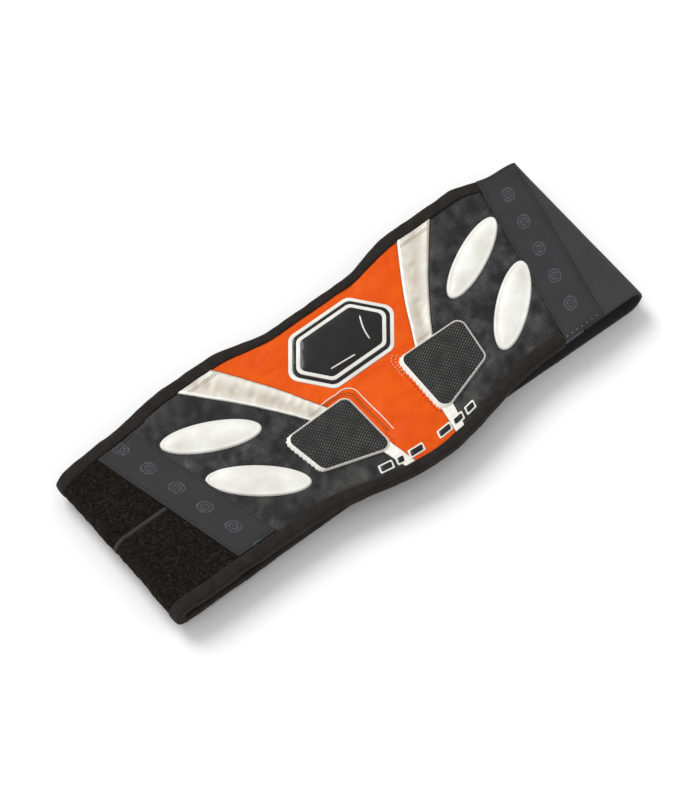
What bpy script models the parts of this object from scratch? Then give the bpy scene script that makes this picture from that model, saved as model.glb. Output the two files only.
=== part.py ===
"""Kidney belt: a padded back panel with a plush wing and an elastic wing, closed into a flattened loop.

The belt is drawn flat, as it is cut and sewn: s runs along it from the middle of the back, y across it
towards its top edge, and n from its outer face inwards. place() then folds the flat belt into the loop.
"""

import math

import bmesh
import bpy
from mathutils import Vector

MM = 0.001

# Loop: the height of the outer face over the surface that the belt lies on, and where its two folds start.
TOP_HEIGHT = 31.0 * MM
LEFT_FOLD_S = 265.7 * MM
RIGHT_FOLD_S = 231.4 * MM
LEFT_RADIUS = 12.4 * MM
RIGHT_RADIUS = 15.8 * MM
FOLD_STEPS = 12
HINGE_TURN = math.radians(45)
HINGE_OUTSIDE = 1.8 * MM

# Outline: half heights at the middle of the back, at the hips and at the wings.
TOP_MIDDLE = 100.5 * MM
TOP_HIP = 113.0 * MM
TOP_WING_LEFT = 105.0 * MM
TOP_WING_RIGHT = 101.5 * MM
TOP_FOLD = 100.0 * MM
BOTTOM_MIDDLE = -94.5 * MM
BOTTOM_HIP = -74.5 * MM
BOTTOM_FOLD = -73.4 * MM
TOP_RISE = (40.0 * MM, 105.0 * MM)
TOP_DROPS_LEFT = ((145.0 * MM, 225.0 * MM), (225.0 * MM, 285.0 * MM))
TOP_DROPS_RIGHT = ((172.0 * MM, 218.0 * MM), (218.0 * MM, 245.0 * MM))
BOTTOM_HIP_S = 135.0 * MM
BOTTOM_RISE = (225.0 * MM, 305.0 * MM)

# Layers, as distances from the outer face, and the gap between neighbours.
GAP = 0.3 * MM
SHELL = 1.2 * MM
FOAM_END = 7.5 * MM
LINING_END = 9.0 * MM
PLUSH = 2.2 * MM
WING_CORE_END = 5.5 * MM
WING_LINING_END = 6.8 * MM
ELASTIC_START = 0.6 * MM
ELASTIC_END = 3.0 * MM
HOOK_END = 4.7 * MM
BINDING = 1.0 * MM
BINDING_MIDDLE = 9.5 * MM
BINDING_HIP = 12.5 * MM
BINDING_CAP = ((0, 1, 8, 9), (1, 2, 8), (2, 3, 8), (3, 7, 8), (3, 4, 7), (4, 5, 6, 7))
EDGE_INSET = BINDING + GAP

# Printed end tapes: they cross the belt at a slant, over the joint of the panel and each wing.
TAPE_WIDTH = 42.0 * MM
TAPE_THICKNESS = 1.0 * MM
TAPE_INNER_S = 199.5 * MM
TAPE_REFERENCE_Y = 100.0 * MM
TAPE_SLOPE = 0.243
TAPE_TOP_RIGHT = 99.5 * MM

# Wings: lengths along their undersides, and how their edges taper to their ends.
LEFT_WING_END_X = -84.0 * MM
LEFT_WING_TOP = 92.0 * MM
LEFT_WING_BOTTOM = -72.0 * MM
ELASTIC_END_X = -58.0 * MM
CLOSURE_SEAM = 14.0 * MM
CLOSURE_LENGTH = 112.0 * MM
RIGHT_WING_TOP = 84.0 * MM
RIGHT_WING_BOTTOM = -70.0 * MM
PLUSH_SEAM_Y = 16.0 * MM
PLUSH_SEAM_WIDTH = 5.0 * MM
HOOK_WIDTH = 42.0 * MM
HOOK_MARGIN = 10.0 * MM
GRIP = 8.0 * MM
GRIP_SETBACK = 2.0 * MM
CLOSURE_CORNER = 6.0 * MM
HOOK_CORNER = 4.0 * MM
GRIP_CORNER = 3.0 * MM

# Vent windows: corners of the right one, as (s, y), and the sizes of its rim.
WINDOW = [(30.2, 5.1), (99.6, 4.0), (92.3, -41.4), (28.6, -61.8)]
WINDOW_CORNER = 8.0 * MM
INSET_CORNER_SHARE = 0.8
RIM_WIDTH = 2.8 * MM
RIM_HEIGHT = 1.4 * MM
FOAM_VENT_INSET = 4.0 * MM

# Silver flashes: outer and inner edges of the right one from top to bottom.
FLASH_OUTER = [(146.0, 103.0), (128.5, 82.7), (104.7, 54.6), (83.6, 26.4), (73.0, 10.8)]
FLASH_INNER = [(107.0, 103.0), (90.6, 78.3), (72.0, 48.4), (59.0, 23.8), (52.0, 10.8)]
PANEL_SPLIT_S = 25.0 * MM
TAIL_WIDTH = 9.5 * MM
TAIL_TOP_Y = -67.5 * MM
TAIL_LEAN = 4.0 * MM

# Oval pads on the right half: centre, long and short half axes, and the slant of the long axis.
OVALS = {
    "upper": ((147.8, 47.5), (45.5, 15.4), 26.5),
    "lower": ((141.0, -15.4), (44.0, 16.6), 40.0),
}
OVAL_HEIGHT = 2.8 * MM
OVAL_RINGS = ((0.0, 0.0), (0.0, 0.35), (1.7, 0.72), (5.5, 1.0))
ELLIPSE_POINTS = 36

# Badge and label.
BADGE_CENTRE = (1.0 * MM, 50.0 * MM)
BADGE_SIZE = (120.0 * MM, 68.0 * MM)
BADGE_CORNERS = ((-1, 0), (-0.55, 1), (0.55, 1), (1, 0), (0.55, -1), (-0.55, -1))
BADGE_ROUND = 9.0 * MM
BADGE_ROUND_STEP = 2.0 * MM
BADGE_STEP = 5.0 * MM
BADGE_LAYER = 0.8 * MM
LABEL_HALF_LENGTH = 56.0 * MM
LABEL_WIDTH = 10.0 * MM
LABEL_Y = -69.0 * MM
LABEL_SAG = 8.0 * MM
LABEL_WAVE = 134.4 * MM

# Stays sewn behind the foam.
STAYS = {"outer_left": -112.0, "inner_left": -17.0, "inner_right": 17.0, "outer_right": 112.0}
STAY_SIZE = (12.0 * MM, 128.0 * MM, 1.4 * MM)
STAY_CENTRE_Y = 9.0 * MM
STAY_CORNER = 4.2 * MM

LEFT_END = LEFT_FOLD_S + LEFT_RADIUS + EDGE_INSET
RIGHT_END = RIGHT_FOLD_S + RIGHT_RADIUS - ELASTIC_START
ORIGIN = Vector(((LEFT_END - RIGHT_END) / 2, -(TOP_HIP + BOTTOM_MIDDLE) / 2, 0.0))

# How finely curves are drawn.
STEP = 9.0 * MM
STRAIGHT = 0.02 * MM
CLOSEST = 0.8 * MM
MERGE = 1e-6
CROSSING_STEPS = 12
SMOOTH_STEPS = 4
CORNER_STEPS = 4
SMOOTH_ANGLE = math.radians(40)

# Pieces that move together, and the turn of the fold or the end of the wing that their axis is at.
MOVING = {
    "left_fold": ["plush_fold_upper", "plush_fold_lower", "plush_fold_seam", "wing_fold_core"]
    + ["wing_fold_lining", "binding_fold_top", "binding_fold_bottom"],
    "left_wing": ["plush_under_upper", "plush_under_lower", "plush_under_seam", "wing_under_core"]
    + ["wing_under_lining", "binding_under_top", "binding_under_bottom", "binding_under_end"],
    "right_fold": ["elastic_fold"],
    "right_wing": ["elastic_under"],
    "closure_seam": ["closure_seam"],
    "closure_panel": ["closure_carrier", "hook_strip_inner", "hook_strip_outer", "grip_tape"],
}

COLOURS = {
    "orange_vinyl": ((0.77, 0.115, 0.008), 0.35, 0.0),
    "black_vinyl": ((0.018, 0.018, 0.021), 0.4, 0.0),
    "silver_vinyl": ((0.62, 0.6, 0.55), 0.32, 0.3),
    "white_gel": ((0.82, 0.82, 0.79), 0.35, 0.0),
    "black_mesh": ((0.012, 0.012, 0.013), 0.7, 0.0),
    "black_gloss": ((0.01, 0.01, 0.011), 0.2, 0.0),
    "printed_tape": ((0.04, 0.04, 0.043), 0.8, 0.0),
    "elastic": ((0.045, 0.045, 0.047), 0.85, 0.0),
    "plush": ((0.012, 0.01, 0.009), 0.95, 0.0),
    "binding": ((0.02, 0.018, 0.017), 0.85, 0.0),
    "seam_thread": ((0.03, 0.027, 0.025), 0.8, 0.0),
    "foam": ((0.1, 0.1, 0.11), 0.95, 0.0),
    "lining": ((0.03, 0.03, 0.032), 0.9, 0.0),
    "stay_plastic": ((0.6, 0.6, 0.58), 0.5, 0.0),
    "hook": ((0.015, 0.015, 0.015), 0.75, 0.0),
}


def clear_scene():
    for obj in list(bpy.data.objects):
        bpy.data.objects.remove(obj, do_unlink=True)


def collection(name):
    made = bpy.data.collections.new(name)
    bpy.context.scene.collection.children.link(made)
    return made


def material(name):
    found = bpy.data.materials.get(name)
    if found:
        return found
    colour, roughness, metallic = COLOURS[name]
    made = bpy.data.materials.new(name)
    made.use_nodes = True
    shader = made.node_tree.nodes["Principled BSDF"]
    shader.inputs["Base Color"].default_value = (*colour, 1.0)
    shader.inputs["Roughness"].default_value = roughness
    shader.inputs["Metallic"].default_value = metallic
    return made


# The folded shape.


def fold_of(s):
    """(side, distance past that side's fold line, radius of the outer face there)."""
    if s >= 0:
        return 1, s - RIGHT_FOLD_S, RIGHT_RADIUS
    return -1, -s - LEFT_FOLD_S, LEFT_RADIUS


def place(s, y, n):
    """Where a point of the flat belt is once the belt is folded into its loop."""
    side, past, radius = fold_of(s)
    turn = min(max(past / radius, 0.0), math.pi)
    straight = min(past, 0.0) - max(past - math.pi * radius, 0.0)
    start = RIGHT_FOLD_S if side > 0 else LEFT_FOLD_S
    x = side * (start + straight + (radius - n) * math.sin(turn))
    z = TOP_HEIGHT - radius + (radius - n) * math.cos(turn)
    return Vector((x, y, z)) + ORIGIN


def turned_s(side, turn):
    """The flat coordinate at which the belt has turned this far round a fold."""
    if side > 0:
        return RIGHT_FOLD_S + RIGHT_RADIUS * turn
    return -LEFT_FOLD_S - LEFT_RADIUS * turn


def under_s(side, x):
    """The flat coordinate of a point of a wing's underside that lies at x."""
    start = RIGHT_FOLD_S if side > 0 else LEFT_FOLD_S
    return turned_s(side, math.pi) + side * (start - side * x)


def bend_stations(side):
    return [turned_s(side, math.pi * step / FOLD_STEPS) for step in range(FOLD_STEPS + 1)]


# The outline.


def ease(value, start, end):
    t = min(max((value - start) / (end - start), 0.0), 1.0)
    return t * t * (3 - 2 * t)


def mix(a, b, t):
    return a + (b - a) * t


def top_edge(s):
    """The top edge of the panel and of the wings as far as their folds."""
    reach = abs(s)
    at_wing, drops = (TOP_WING_RIGHT, TOP_DROPS_RIGHT) if s > 0 else (TOP_WING_LEFT, TOP_DROPS_LEFT)
    hip = mix(TOP_MIDDLE, TOP_HIP, ease(reach, *TOP_RISE))
    wing = mix(hip, at_wing, ease(reach, *drops[0]))
    return mix(wing, TOP_FOLD, ease(reach, *drops[1]))


def bottom_edge(s):
    """The bottom edge of the panel and of the wings as far as their folds."""
    reach = min(abs(s) / BOTTOM_HIP_S, 1.0)
    hip = mix(BOTTOM_HIP, BOTTOM_MIDDLE, 0.5 + 0.5 * math.cos(math.pi * reach))
    return mix(hip, BOTTOM_FOLD, ease(abs(s), *BOTTOM_RISE))


def wing_taper(s, edge, at_right_end, at_left_end):
    """A straight cut from the fold's end of an edge to the end of the wing that s is on."""
    side, end_x, at_end = (1, ELASTIC_END_X, at_right_end) if s > 0 else (-1, LEFT_WING_END_X, at_left_end)
    start, end = turned_s(side, math.pi), under_s(side, end_x)
    return mix(edge(start), at_end, max(0.0, (s - start) / (end - start)))


def under_top(s):
    return wing_taper(s, top_edge, RIGHT_WING_TOP, LEFT_WING_TOP)


def under_bottom(s):
    return wing_taper(s, bottom_edge, RIGHT_WING_BOTTOM, LEFT_WING_BOTTOM)


def binding_width(s):
    return mix(BINDING_MIDDLE, BINDING_HIP, ease(abs(s), *TOP_RISE))


def slant_s(side, y, across):
    """A line along an end tape, at a share of its width from its inner edge."""
    return side * (TAPE_INNER_S + across * TAPE_WIDTH + (y - TAPE_REFERENCE_Y) * TAPE_SLOPE)


def slant_crossing(side, across, edge):
    """The flat coordinate at which a line along an end tape meets an edge of the belt."""
    s = side * TAPE_INNER_S
    for _ in range(CROSSING_STEPS):
        s = slant_s(side, edge(s), across)
    return s


def along(edge, start, end, offset=0.0):
    """Points on an edge from start to end, moved by offset across the belt."""
    count = max(1, math.ceil(abs(end - start) / STEP))
    steps = [start + (end - start) * i / count for i in range(count + 1)]
    return [(s, edge(s) + offset) for s in steps]


def curve_value(before, start, end, after, t):
    """One coordinate of a Catmull-Rom curve between start and end."""
    second = 2 * before - 5 * start + 4 * end - after
    third = 3 * start - before - 3 * end + after
    return 0.5 * (2 * start + (end - before) * t + second * t**2 + third * t**3)


def smooth(points):
    """A Catmull-Rom curve through the points."""
    ends = [points[0], *points, points[-1]]
    curve = []
    for four in zip(ends, ends[1:], ends[2:], ends[3:]):
        for i in range(SMOOTH_STEPS):
            t = i / SMOOTH_STEPS
            curve.append(tuple(curve_value(*values, t) for values in zip(*four)))
    return curve + [points[-1]]


def rounded(points, radius):
    """A polygon with each corner turned on an arc."""
    result = []
    count = len(points)
    for i, corner in enumerate(points):
        corner = Vector(corner)
        before = (Vector(points[i - 1]) - corner).normalized()
        after = (Vector(points[(i + 1) % count]) - corner).normalized()
        half = before.angle(after) / 2
        centre = corner + (before + after).normalized() * radius / math.sin(half)
        reach = radius / math.tan(half)
        first = corner + before * reach - centre
        last = corner + after * reach - centre
        sweep = first.angle(last)
        for step in range(CORNER_STEPS + 1):
            t = step / CORNER_STEPS
            arm = (first * math.sin((1 - t) * sweep) + last * math.sin(t * sweep)) / math.sin(sweep)
            result.append(tuple(centre + arm))
    return result


def inset(points, distance):
    """A convex polygon moved inwards, or outwards where distance is below zero."""
    middle = sum((Vector(p) for p in points), Vector((0, 0))) / len(points)
    lines = []
    for a, b in zip(points, points[1:] + points[:1]):
        a, b = Vector(a), Vector(b)
        normal = (b - a).orthogonal().normalized()
        if normal.dot(middle - a) < 0:
            normal.negate()
        lines.append((a + normal * distance, (b - a).normalized()))
    corners = []
    for (p, u), (q, v) in zip(lines[-1:] + lines[:-1], lines):
        share = (q - p).cross(v) / u.cross(v)
        corners.append(tuple(p + u * share))
    return corners


def without_straight_points(points):
    """The outline without the points that lie on a straight line between their neighbours."""
    kept = []
    for i, point in enumerate(points):
        before = Vector(kept[-1] if kept else points[-1])
        here, after = Vector(point), Vector(points[(i + 1) % len(points)])
        area = (here - before).cross(after - here)
        if abs(area) > STRAIGHT * (after - before).length:
            kept.append(point)
    return kept


def ellipse(centre, halves, slant):
    turn = math.radians(slant)
    points = []
    for i in range(ELLIPSE_POINTS):
        a = 2 * math.pi * i / ELLIPSE_POINTS
        u, v = halves[0] * math.cos(a), halves[1] * math.sin(a)
        s = centre[0] + u * math.cos(turn) - v * math.sin(turn)
        points.append((s, centre[1] + u * math.sin(turn) + v * math.cos(turn)))
    return points


# Solids.


def finish_object(name, mesh, material_name, parts):
    mesh.name = name
    mesh.shade_smooth()
    mesh.set_sharp_from_angle(angle=SMOOTH_ANGLE)
    mesh.materials.clear()
    mesh.materials.append(material(material_name))
    obj = bpy.data.objects.new(name, mesh)
    parts.objects.link(obj)
    return obj


def flat_plate(outlines, low, high):
    """A closed mesh between two distances from the outer face, from a filled outline and its holes."""
    curve = bpy.data.curves.new("outline", "CURVE")
    curve.dimensions = "2D"
    curve.fill_mode = "BOTH"
    curve.extrude = (high - low) / 2
    for outline in map(without_straight_points, outlines):
        spline = curve.splines.new("POLY")
        spline.points.add(len(outline) - 1)
        for point, (s, y) in zip(spline.points, outline):
            point.co = (s, y, 0.0, 1.0)
        spline.use_cyclic_u = True
    guide = bpy.data.objects.new("outline", curve)
    bpy.context.scene.collection.objects.link(guide)
    graph = bpy.context.evaluated_depsgraph_get()
    mesh = bpy.data.meshes.new_from_object(guide.evaluated_get(graph))
    bpy.data.objects.remove(guide)
    shape = bmesh.new()
    shape.from_mesh(mesh)
    bmesh.ops.remove_doubles(shape, verts=shape.verts, dist=MERGE)
    for vertex in shape.verts:
        vertex.co.z += (low + high) / 2
    return mesh, shape


def plate(name, outlines, low, high, material_name, parts):
    """A layer of the belt: cut flat, creased at each fold that it reaches, and placed in the loop."""
    mesh, shape = flat_plate(outlines, low, high)
    reach = [vertex.co.x for vertex in shape.verts]
    for side in (-1, 1):
        for station in bend_stations(side):
            if min(reach) < station < max(reach):
                everything = shape.verts[:] + shape.edges[:] + shape.faces[:]
                bmesh.ops.bisect_plane(
                    shape, geom=everything, dist=MERGE, plane_co=(station, 0, 0), plane_no=(1, 0, 0)
                )
    for vertex in shape.verts:
        vertex.co = place(*vertex.co)
    bmesh.ops.triangulate(shape, faces=shape.faces)
    bmesh.ops.recalc_face_normals(shape, faces=shape.faces)
    shape.to_mesh(mesh)
    shape.free()
    return finish_object(name, mesh, material_name, parts)


def sweep(name, rings, material_name, parts, cap=None):
    """A closed solid lofted through rings of points. cap lists an end's faces if it isn't convex."""
    shape = bmesh.new()
    loops = [[shape.verts.new(place(*point)) for point in ring] for ring in rings]
    count = len(rings[0])
    for one, two in zip(loops, loops[1:]):
        for i in range(count):
            k = (i + 1) % count
            shape.faces.new((one[i], one[k], two[k], two[i]))
    for loop in (loops[0], loops[-1]):
        for corners in cap or [range(count)]:
            shape.faces.new([loop[i] for i in corners])
    bmesh.ops.triangulate(shape, faces=shape.faces)
    bmesh.ops.recalc_face_normals(shape, faces=shape.faces)
    mesh = bpy.data.meshes.new(name)
    shape.to_mesh(mesh)
    shape.free()
    return finish_object(name, mesh, material_name, parts)


def binding_ring(s, edge_y, side, depth):
    """Section of a folded tape that wraps the edge of layers as thick as depth."""
    inner = edge_y - side * binding_width(s)
    outer = edge_y
    shoulder = edge_y - side * BINDING
    top, bottom = -GAP - BINDING, depth + GAP + BINDING
    return [
        (s, inner, top),
        (s, shoulder, top),
        (s, outer, top + BINDING),
        (s, outer, bottom - BINDING),
        (s, shoulder, bottom),
        (s, inner, bottom),
        (s, inner, depth + GAP),
        (s, shoulder, depth + GAP),
        (s, shoulder, -GAP),
        (s, inner, -GAP),
    ]


def binding(name, edge, side, start, end, depth, parts):
    low, high = min(start, end), max(start, end)
    stops = [s for s, _ in along(edge, low, high)]
    stops += bend_stations(-1) + bend_stations(1)
    inside = sorted(s for s in stops if low + CLOSEST < s < high - CLOSEST)
    spaced = [s for s, following in zip(inside, inside[1:] + [high]) if following - s > CLOSEST]
    rings = [binding_ring(s, edge(s), side, depth) for s in [low, *spaced, high]]
    return sweep(name, rings, "binding", parts, BINDING_CAP)


def band_outline(top, bottom, start, end):
    """The outline between two edges, for a stretch of a wing."""
    return along(top, start, end) + along(bottom, end, start)


# The back panel.


def panel_end(side, across):
    """The slanted end of the panel's layers, from its top edge to its bottom edge."""
    top = slant_crossing(side, across, top_edge)
    bottom = slant_crossing(side, across, bottom_edge)
    return top, bottom


def binding_split(side, edge):
    """Where the thick panel's binding gives way to the thin wing's, past the panel's end."""
    inner_offset = BINDING_HIP if edge is bottom_edge else 0.0
    return slant_crossing(side, 0.5, lambda s: edge(s) + inner_offset)


def panel_outline(end_gap):
    left_top, left_bottom = panel_end(-1, 0.5)
    right_top, right_bottom = panel_end(1, 0.5)
    upper = along(top_edge, left_top + end_gap, right_top - end_gap, -EDGE_INSET)
    lower = along(bottom_edge, right_bottom - end_gap, left_bottom + end_gap, EDGE_INSET)
    return upper + lower


def window_outline(side, distance):
    corners = inset([(side * s * MM, y * MM) for s, y in WINDOW], distance)
    return rounded(corners, WINDOW_CORNER - distance * (INSET_CORNER_SHARE if distance > 0 else 1))


def tail_edges(side, y):
    """Inner and outer edge of a silver tail at a height."""
    lean = (TAIL_TOP_Y - y) / (TAIL_TOP_Y - BOTTOM_MIDDLE) * TAIL_LEAN
    inner = PANEL_SPLIT_S + 0.5 * GAP - lean
    return side * inner, side * (inner + TAIL_WIDTH)


def mirror_order(points, side):
    return points if side > 0 else points[::-1]


def build_shell(parts):
    """Orange middle, silver flashes and tails, and the black side panels with their vent windows."""
    flash_outer = smooth([(s * MM, y * MM) for s, y in FLASH_OUTER])
    flash_inner = smooth([(s * MM, y * MM) for s, y in FLASH_INNER])
    flash_foot = flash_inner[-1][1]

    def clip_top(curve):
        """The curve below the top edge, with its first point on that edge."""
        kept = [(s, y) for s, y in curve if y < top_edge(s) - EDGE_INSET]
        return [(curve[0][0], top_edge(curve[0][0]) - EDGE_INSET)] + kept

    inner = clip_top(flash_inner)
    outer = clip_top(flash_outer)
    tail_low = tail_edges(1, bottom_edge(PANEL_SPLIT_S) + EDGE_INSET)
    tail_high = tail_edges(1, TAIL_TOP_Y)

    right_side = [(s - GAP / 2, y) for s, y in inner]
    right_side += [(PANEL_SPLIT_S - GAP / 2, flash_foot - GAP), (tail_high[0] - GAP, TAIL_TOP_Y)]
    right_side += [(tail_low[0] - GAP, bottom_edge(tail_low[0]) + EDGE_INSET)]
    bottom_line = along(bottom_edge, tail_low[0] - GAP, -tail_low[0] + GAP, EDGE_INSET)[1:-1]
    left_side = [(-s, y) for s, y in right_side[::-1]]
    top_line = along(top_edge, left_side[-1][0], right_side[0][0], -EDGE_INSET)[1:-1]
    plate("centre_panel", [right_side + bottom_line + left_side + top_line], 0, SHELL, "orange_vinyl", parts)

    for side, word in ((-1, "left"), (1, "right")):
        flash = [(s + GAP / 2, y) for s, y in inner]
        flash += [(s - GAP / 2, y) for s, y in outer[::-1]]
        top_line = along(top_edge, outer[0][0] - GAP / 2, inner[0][0] + GAP / 2, -EDGE_INSET)[1:-1]
        flash += top_line
        outline = mirror_order([(side * s, y) for s, y in flash], side)
        plate(f"silver_flash_{word}", [outline], 0, SHELL, "silver_vinyl", parts)

        tail_bottom = [(tail_low[k], bottom_edge(tail_low[k]) + EDGE_INSET) for k in (0, 1)]
        tail = [(tail_high[0], TAIL_TOP_Y), (tail_high[1], TAIL_TOP_Y), tail_bottom[1], tail_bottom[0]]
        outline = [(side * s, y) for s, y in tail]
        plate(f"silver_tail_{word}", [outline], 0, SHELL, "silver_vinyl", parts)

        end_top, end_bottom = [abs(s) - GAP for s in panel_end(side, 0.5)]
        panel = [(s + GAP / 2, y) for s, y in outer[::-1]]
        panel += along(lambda s: top_edge(side * s), outer[0][0] + GAP / 2, end_top, -EDGE_INSET)[1:]
        panel += along(lambda s: bottom_edge(side * s), end_bottom, tail_low[1] + GAP, EDGE_INSET)
        panel += [(tail_high[1] + GAP, TAIL_TOP_Y + GAP), (PANEL_SPLIT_S + GAP / 2, TAIL_TOP_Y + GAP)]
        panel += [(PANEL_SPLIT_S + GAP / 2, flash_foot - GAP)]
        outline = mirror_order([(side * s, y) for s, y in panel], side)
        hole = window_outline(side, 0)
        plate(f"side_panel_{word}", [outline, hole], 0, SHELL, "black_vinyl", parts)


def build_vents(parts):
    for side, word in ((-1, "left"), (1, "right")):
        mesh_outline = window_outline(side, GAP)
        plate(f"vent_mesh_{word}", [mesh_outline], GAP, SHELL, "black_mesh", parts)
        ring = [window_outline(side, -RIM_WIDTH), window_outline(side, GAP)]
        plate(f"vent_rim_{word}", ring, -GAP - RIM_HEIGHT, -GAP, "silver_vinyl", parts)


def build_foam(parts, cutters):
    """The foam core, open under each vent window, with a slot in its inner face for each stay."""
    holes = [window_outline(side, FOAM_VENT_INSET) for side in (-1, 1)]
    foam = plate(
        "foam_core", [panel_outline(GAP / 2), *holes], SHELL + GAP, FOAM_END, "foam", parts
    )
    width, height, thickness = STAY_SIZE
    for name, s in STAYS.items():
        centre = place(s * MM, STAY_CENTRE_Y, FOAM_END - thickness / 2)
        bpy.ops.mesh.primitive_cube_add(size=1, location=centre)
        cutter = bpy.context.object
        cutter.name = f"stay_slot_{name}"
        cutter.dimensions = (width + 2 * GAP, height + 2 * GAP, thickness + 2 * GAP)
        cutter.hide_render = True
        cutter.display_type = "WIRE"
        move_to(cutter, cutters)
        cut = foam.modifiers.new(cutter.name, "BOOLEAN")
        cut.operation = "DIFFERENCE"
        cut.solver = "EXACT"
        cut.object = cutter
        build_stay(name, s * MM, parts)
    plate("panel_lining", [panel_outline(GAP / 2)], FOAM_END + GAP, LINING_END, "lining", parts)


def build_stay(name, s, parts):
    """A flat plastic stay with rounded corners."""
    width, height, thickness = STAY_SIZE
    low, high = STAY_CENTRE_Y - height / 2, STAY_CENTRE_Y + height / 2
    corners = [(s - width / 2, low), (s + width / 2, low), (s + width / 2, high), (s - width / 2, high)]
    plate(
        f"stay_{name}",
        [rounded(corners, STAY_CORNER)],
        FOAM_END - thickness,
        FOAM_END,
        "stay_plastic",
        parts,
    )


def move_to(obj, target):
    for owner in list(obj.users_collection):
        owner.objects.unlink(obj)
    target.objects.link(obj)


def build_ovals(parts):
    """Domed oval pads: an outline at the panel and smaller ones above it."""
    for side, word in ((-1, "left"), (1, "right")):
        for level, (centre, halves, slant) in OVALS.items():
            middle = (side * centre[0] * MM, centre[1] * MM)
            rings = []
            for shrink, height in OVAL_RINGS:
                shrunk = [(half - shrink) * MM for half in halves]
                n = -GAP - OVAL_HEIGHT * height
                rings.append([(s, y, n) for s, y in ellipse(middle, shrunk, side * slant)])
            sweep(f"oval_pad_{level}_{word}", rings, "white_gel", parts)


def build_badge(parts):
    """A plain six-sided badge in three stacked layers, and a plain curved label strip."""
    half_s, half_y = BADGE_SIZE[0] / 2, BADGE_SIZE[1] / 2
    outline = [(BADGE_CENTRE[0] + u * half_s, BADGE_CENTRE[1] + v * half_y) for u, v in BADGE_CORNERS]
    layers = (("badge_base", "black_gloss"), ("badge_ring", "white_gel"), ("badge_face", "black_gloss"))
    for i, (name, material_name) in enumerate(layers):
        shape = rounded(inset(outline, BADGE_STEP * i), BADGE_ROUND - BADGE_ROUND_STEP * i)
        top = -GAP - (i + 1) * BADGE_LAYER - i * GAP
        plate(name, [shape], top, top + BADGE_LAYER, material_name, parts)

    def label_line(s):
        return LABEL_Y - LABEL_SAG * math.cos(math.pi * s / LABEL_WAVE)

    upper = along(label_line, -LABEL_HALF_LENGTH, LABEL_HALF_LENGTH, LABEL_WIDTH / 2)
    lower = along(label_line, LABEL_HALF_LENGTH, -LABEL_HALF_LENGTH, -LABEL_WIDTH / 2)
    plate("lower_label", [upper + lower], -GAP - BADGE_LAYER, -GAP, "black_gloss", parts)


def build_end_tapes(parts):
    """The printed tape over each end of the panel. The right one reaches the belt's lower edge."""
    for side, word in ((-1, "left"), (1, "right")):
        bottom_cut = GAP if side > 0 else BINDING_HIP + 2 * GAP
        top_cut = BINDING_HIP + 2 * GAP

        def top_line(s):
            line = top_edge(s) - top_cut
            return min(line, TAPE_TOP_RIGHT) if side > 0 else line

        def bottom_line(s):
            return bottom_edge(s) + bottom_cut

        lower = [slant_crossing(side, across, bottom_line) for across in (0, 1)]
        upper = [slant_crossing(side, across, top_line) for across in (1, 0)]
        outline = along(bottom_line, *lower) + along(top_line, *upper)
        plate(f"end_tape_{word}", [outline], -GAP - TAPE_THICKNESS, -GAP, "printed_tape", parts)


# The wings.


def wing_layers(stretch, outline_of, seam_outline_of, parts):
    """Plush strips, their zigzag seam, foam core and lining of one stretch of the left wing."""
    seam_low = PLUSH_SEAM_Y - GAP / 2
    seam_high = PLUSH_SEAM_Y + GAP / 2
    plate(f"plush_{stretch}_upper", [outline_of(None, seam_high)], 0, PLUSH, "plush", parts)
    plate(f"plush_{stretch}_lower", [outline_of(seam_low, None)], 0, PLUSH, "plush", parts)
    half = PLUSH_SEAM_WIDTH / 2
    seam = seam_outline_of(PLUSH_SEAM_Y + half, PLUSH_SEAM_Y - half)
    plate(f"plush_{stretch}_seam", [seam], -2 * GAP, -GAP, "seam_thread", parts)
    plate(f"wing_{stretch}_core", [outline_of(None, None)], PLUSH + GAP, WING_CORE_END, "foam", parts)
    lining = outline_of(None, None)
    plate(f"wing_{stretch}_lining", [lining], WING_CORE_END + GAP, WING_LINING_END, "lining", parts)


def stretch_outline(start, end, top, bottom):
    """An outline maker for a stretch: each edge is the wing's own, or a straight line at a height."""

    def outline_of(upper, lower):
        upper_line, lower_line = [(start, upper), (end, upper)], [(end, lower), (start, lower)]
        if upper is None:
            upper_line = along(top, start, end, -EDGE_INSET)
        if lower is None:
            lower_line = along(bottom, end, start, EDGE_INSET)
        return upper_line + lower_line

    return outline_of


def slanted_outline(end, across):
    """An outline maker for the stretch from a line along the left end tape to the fold's first hinge."""

    def outline_of(upper, lower):
        upper_y = top_edge if upper is None else (lambda s: upper + EDGE_INSET)
        lower_y = bottom_edge if lower is None else (lambda s: lower - EDGE_INSET)
        start_top = slant_crossing(-1, across, upper_y) - GAP
        start_bottom = slant_crossing(-1, across, lower_y) - GAP
        return along(upper_y, start_top, end, -EDGE_INSET) + along(lower_y, end, start_bottom, EDGE_INSET)

    return outline_of


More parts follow.
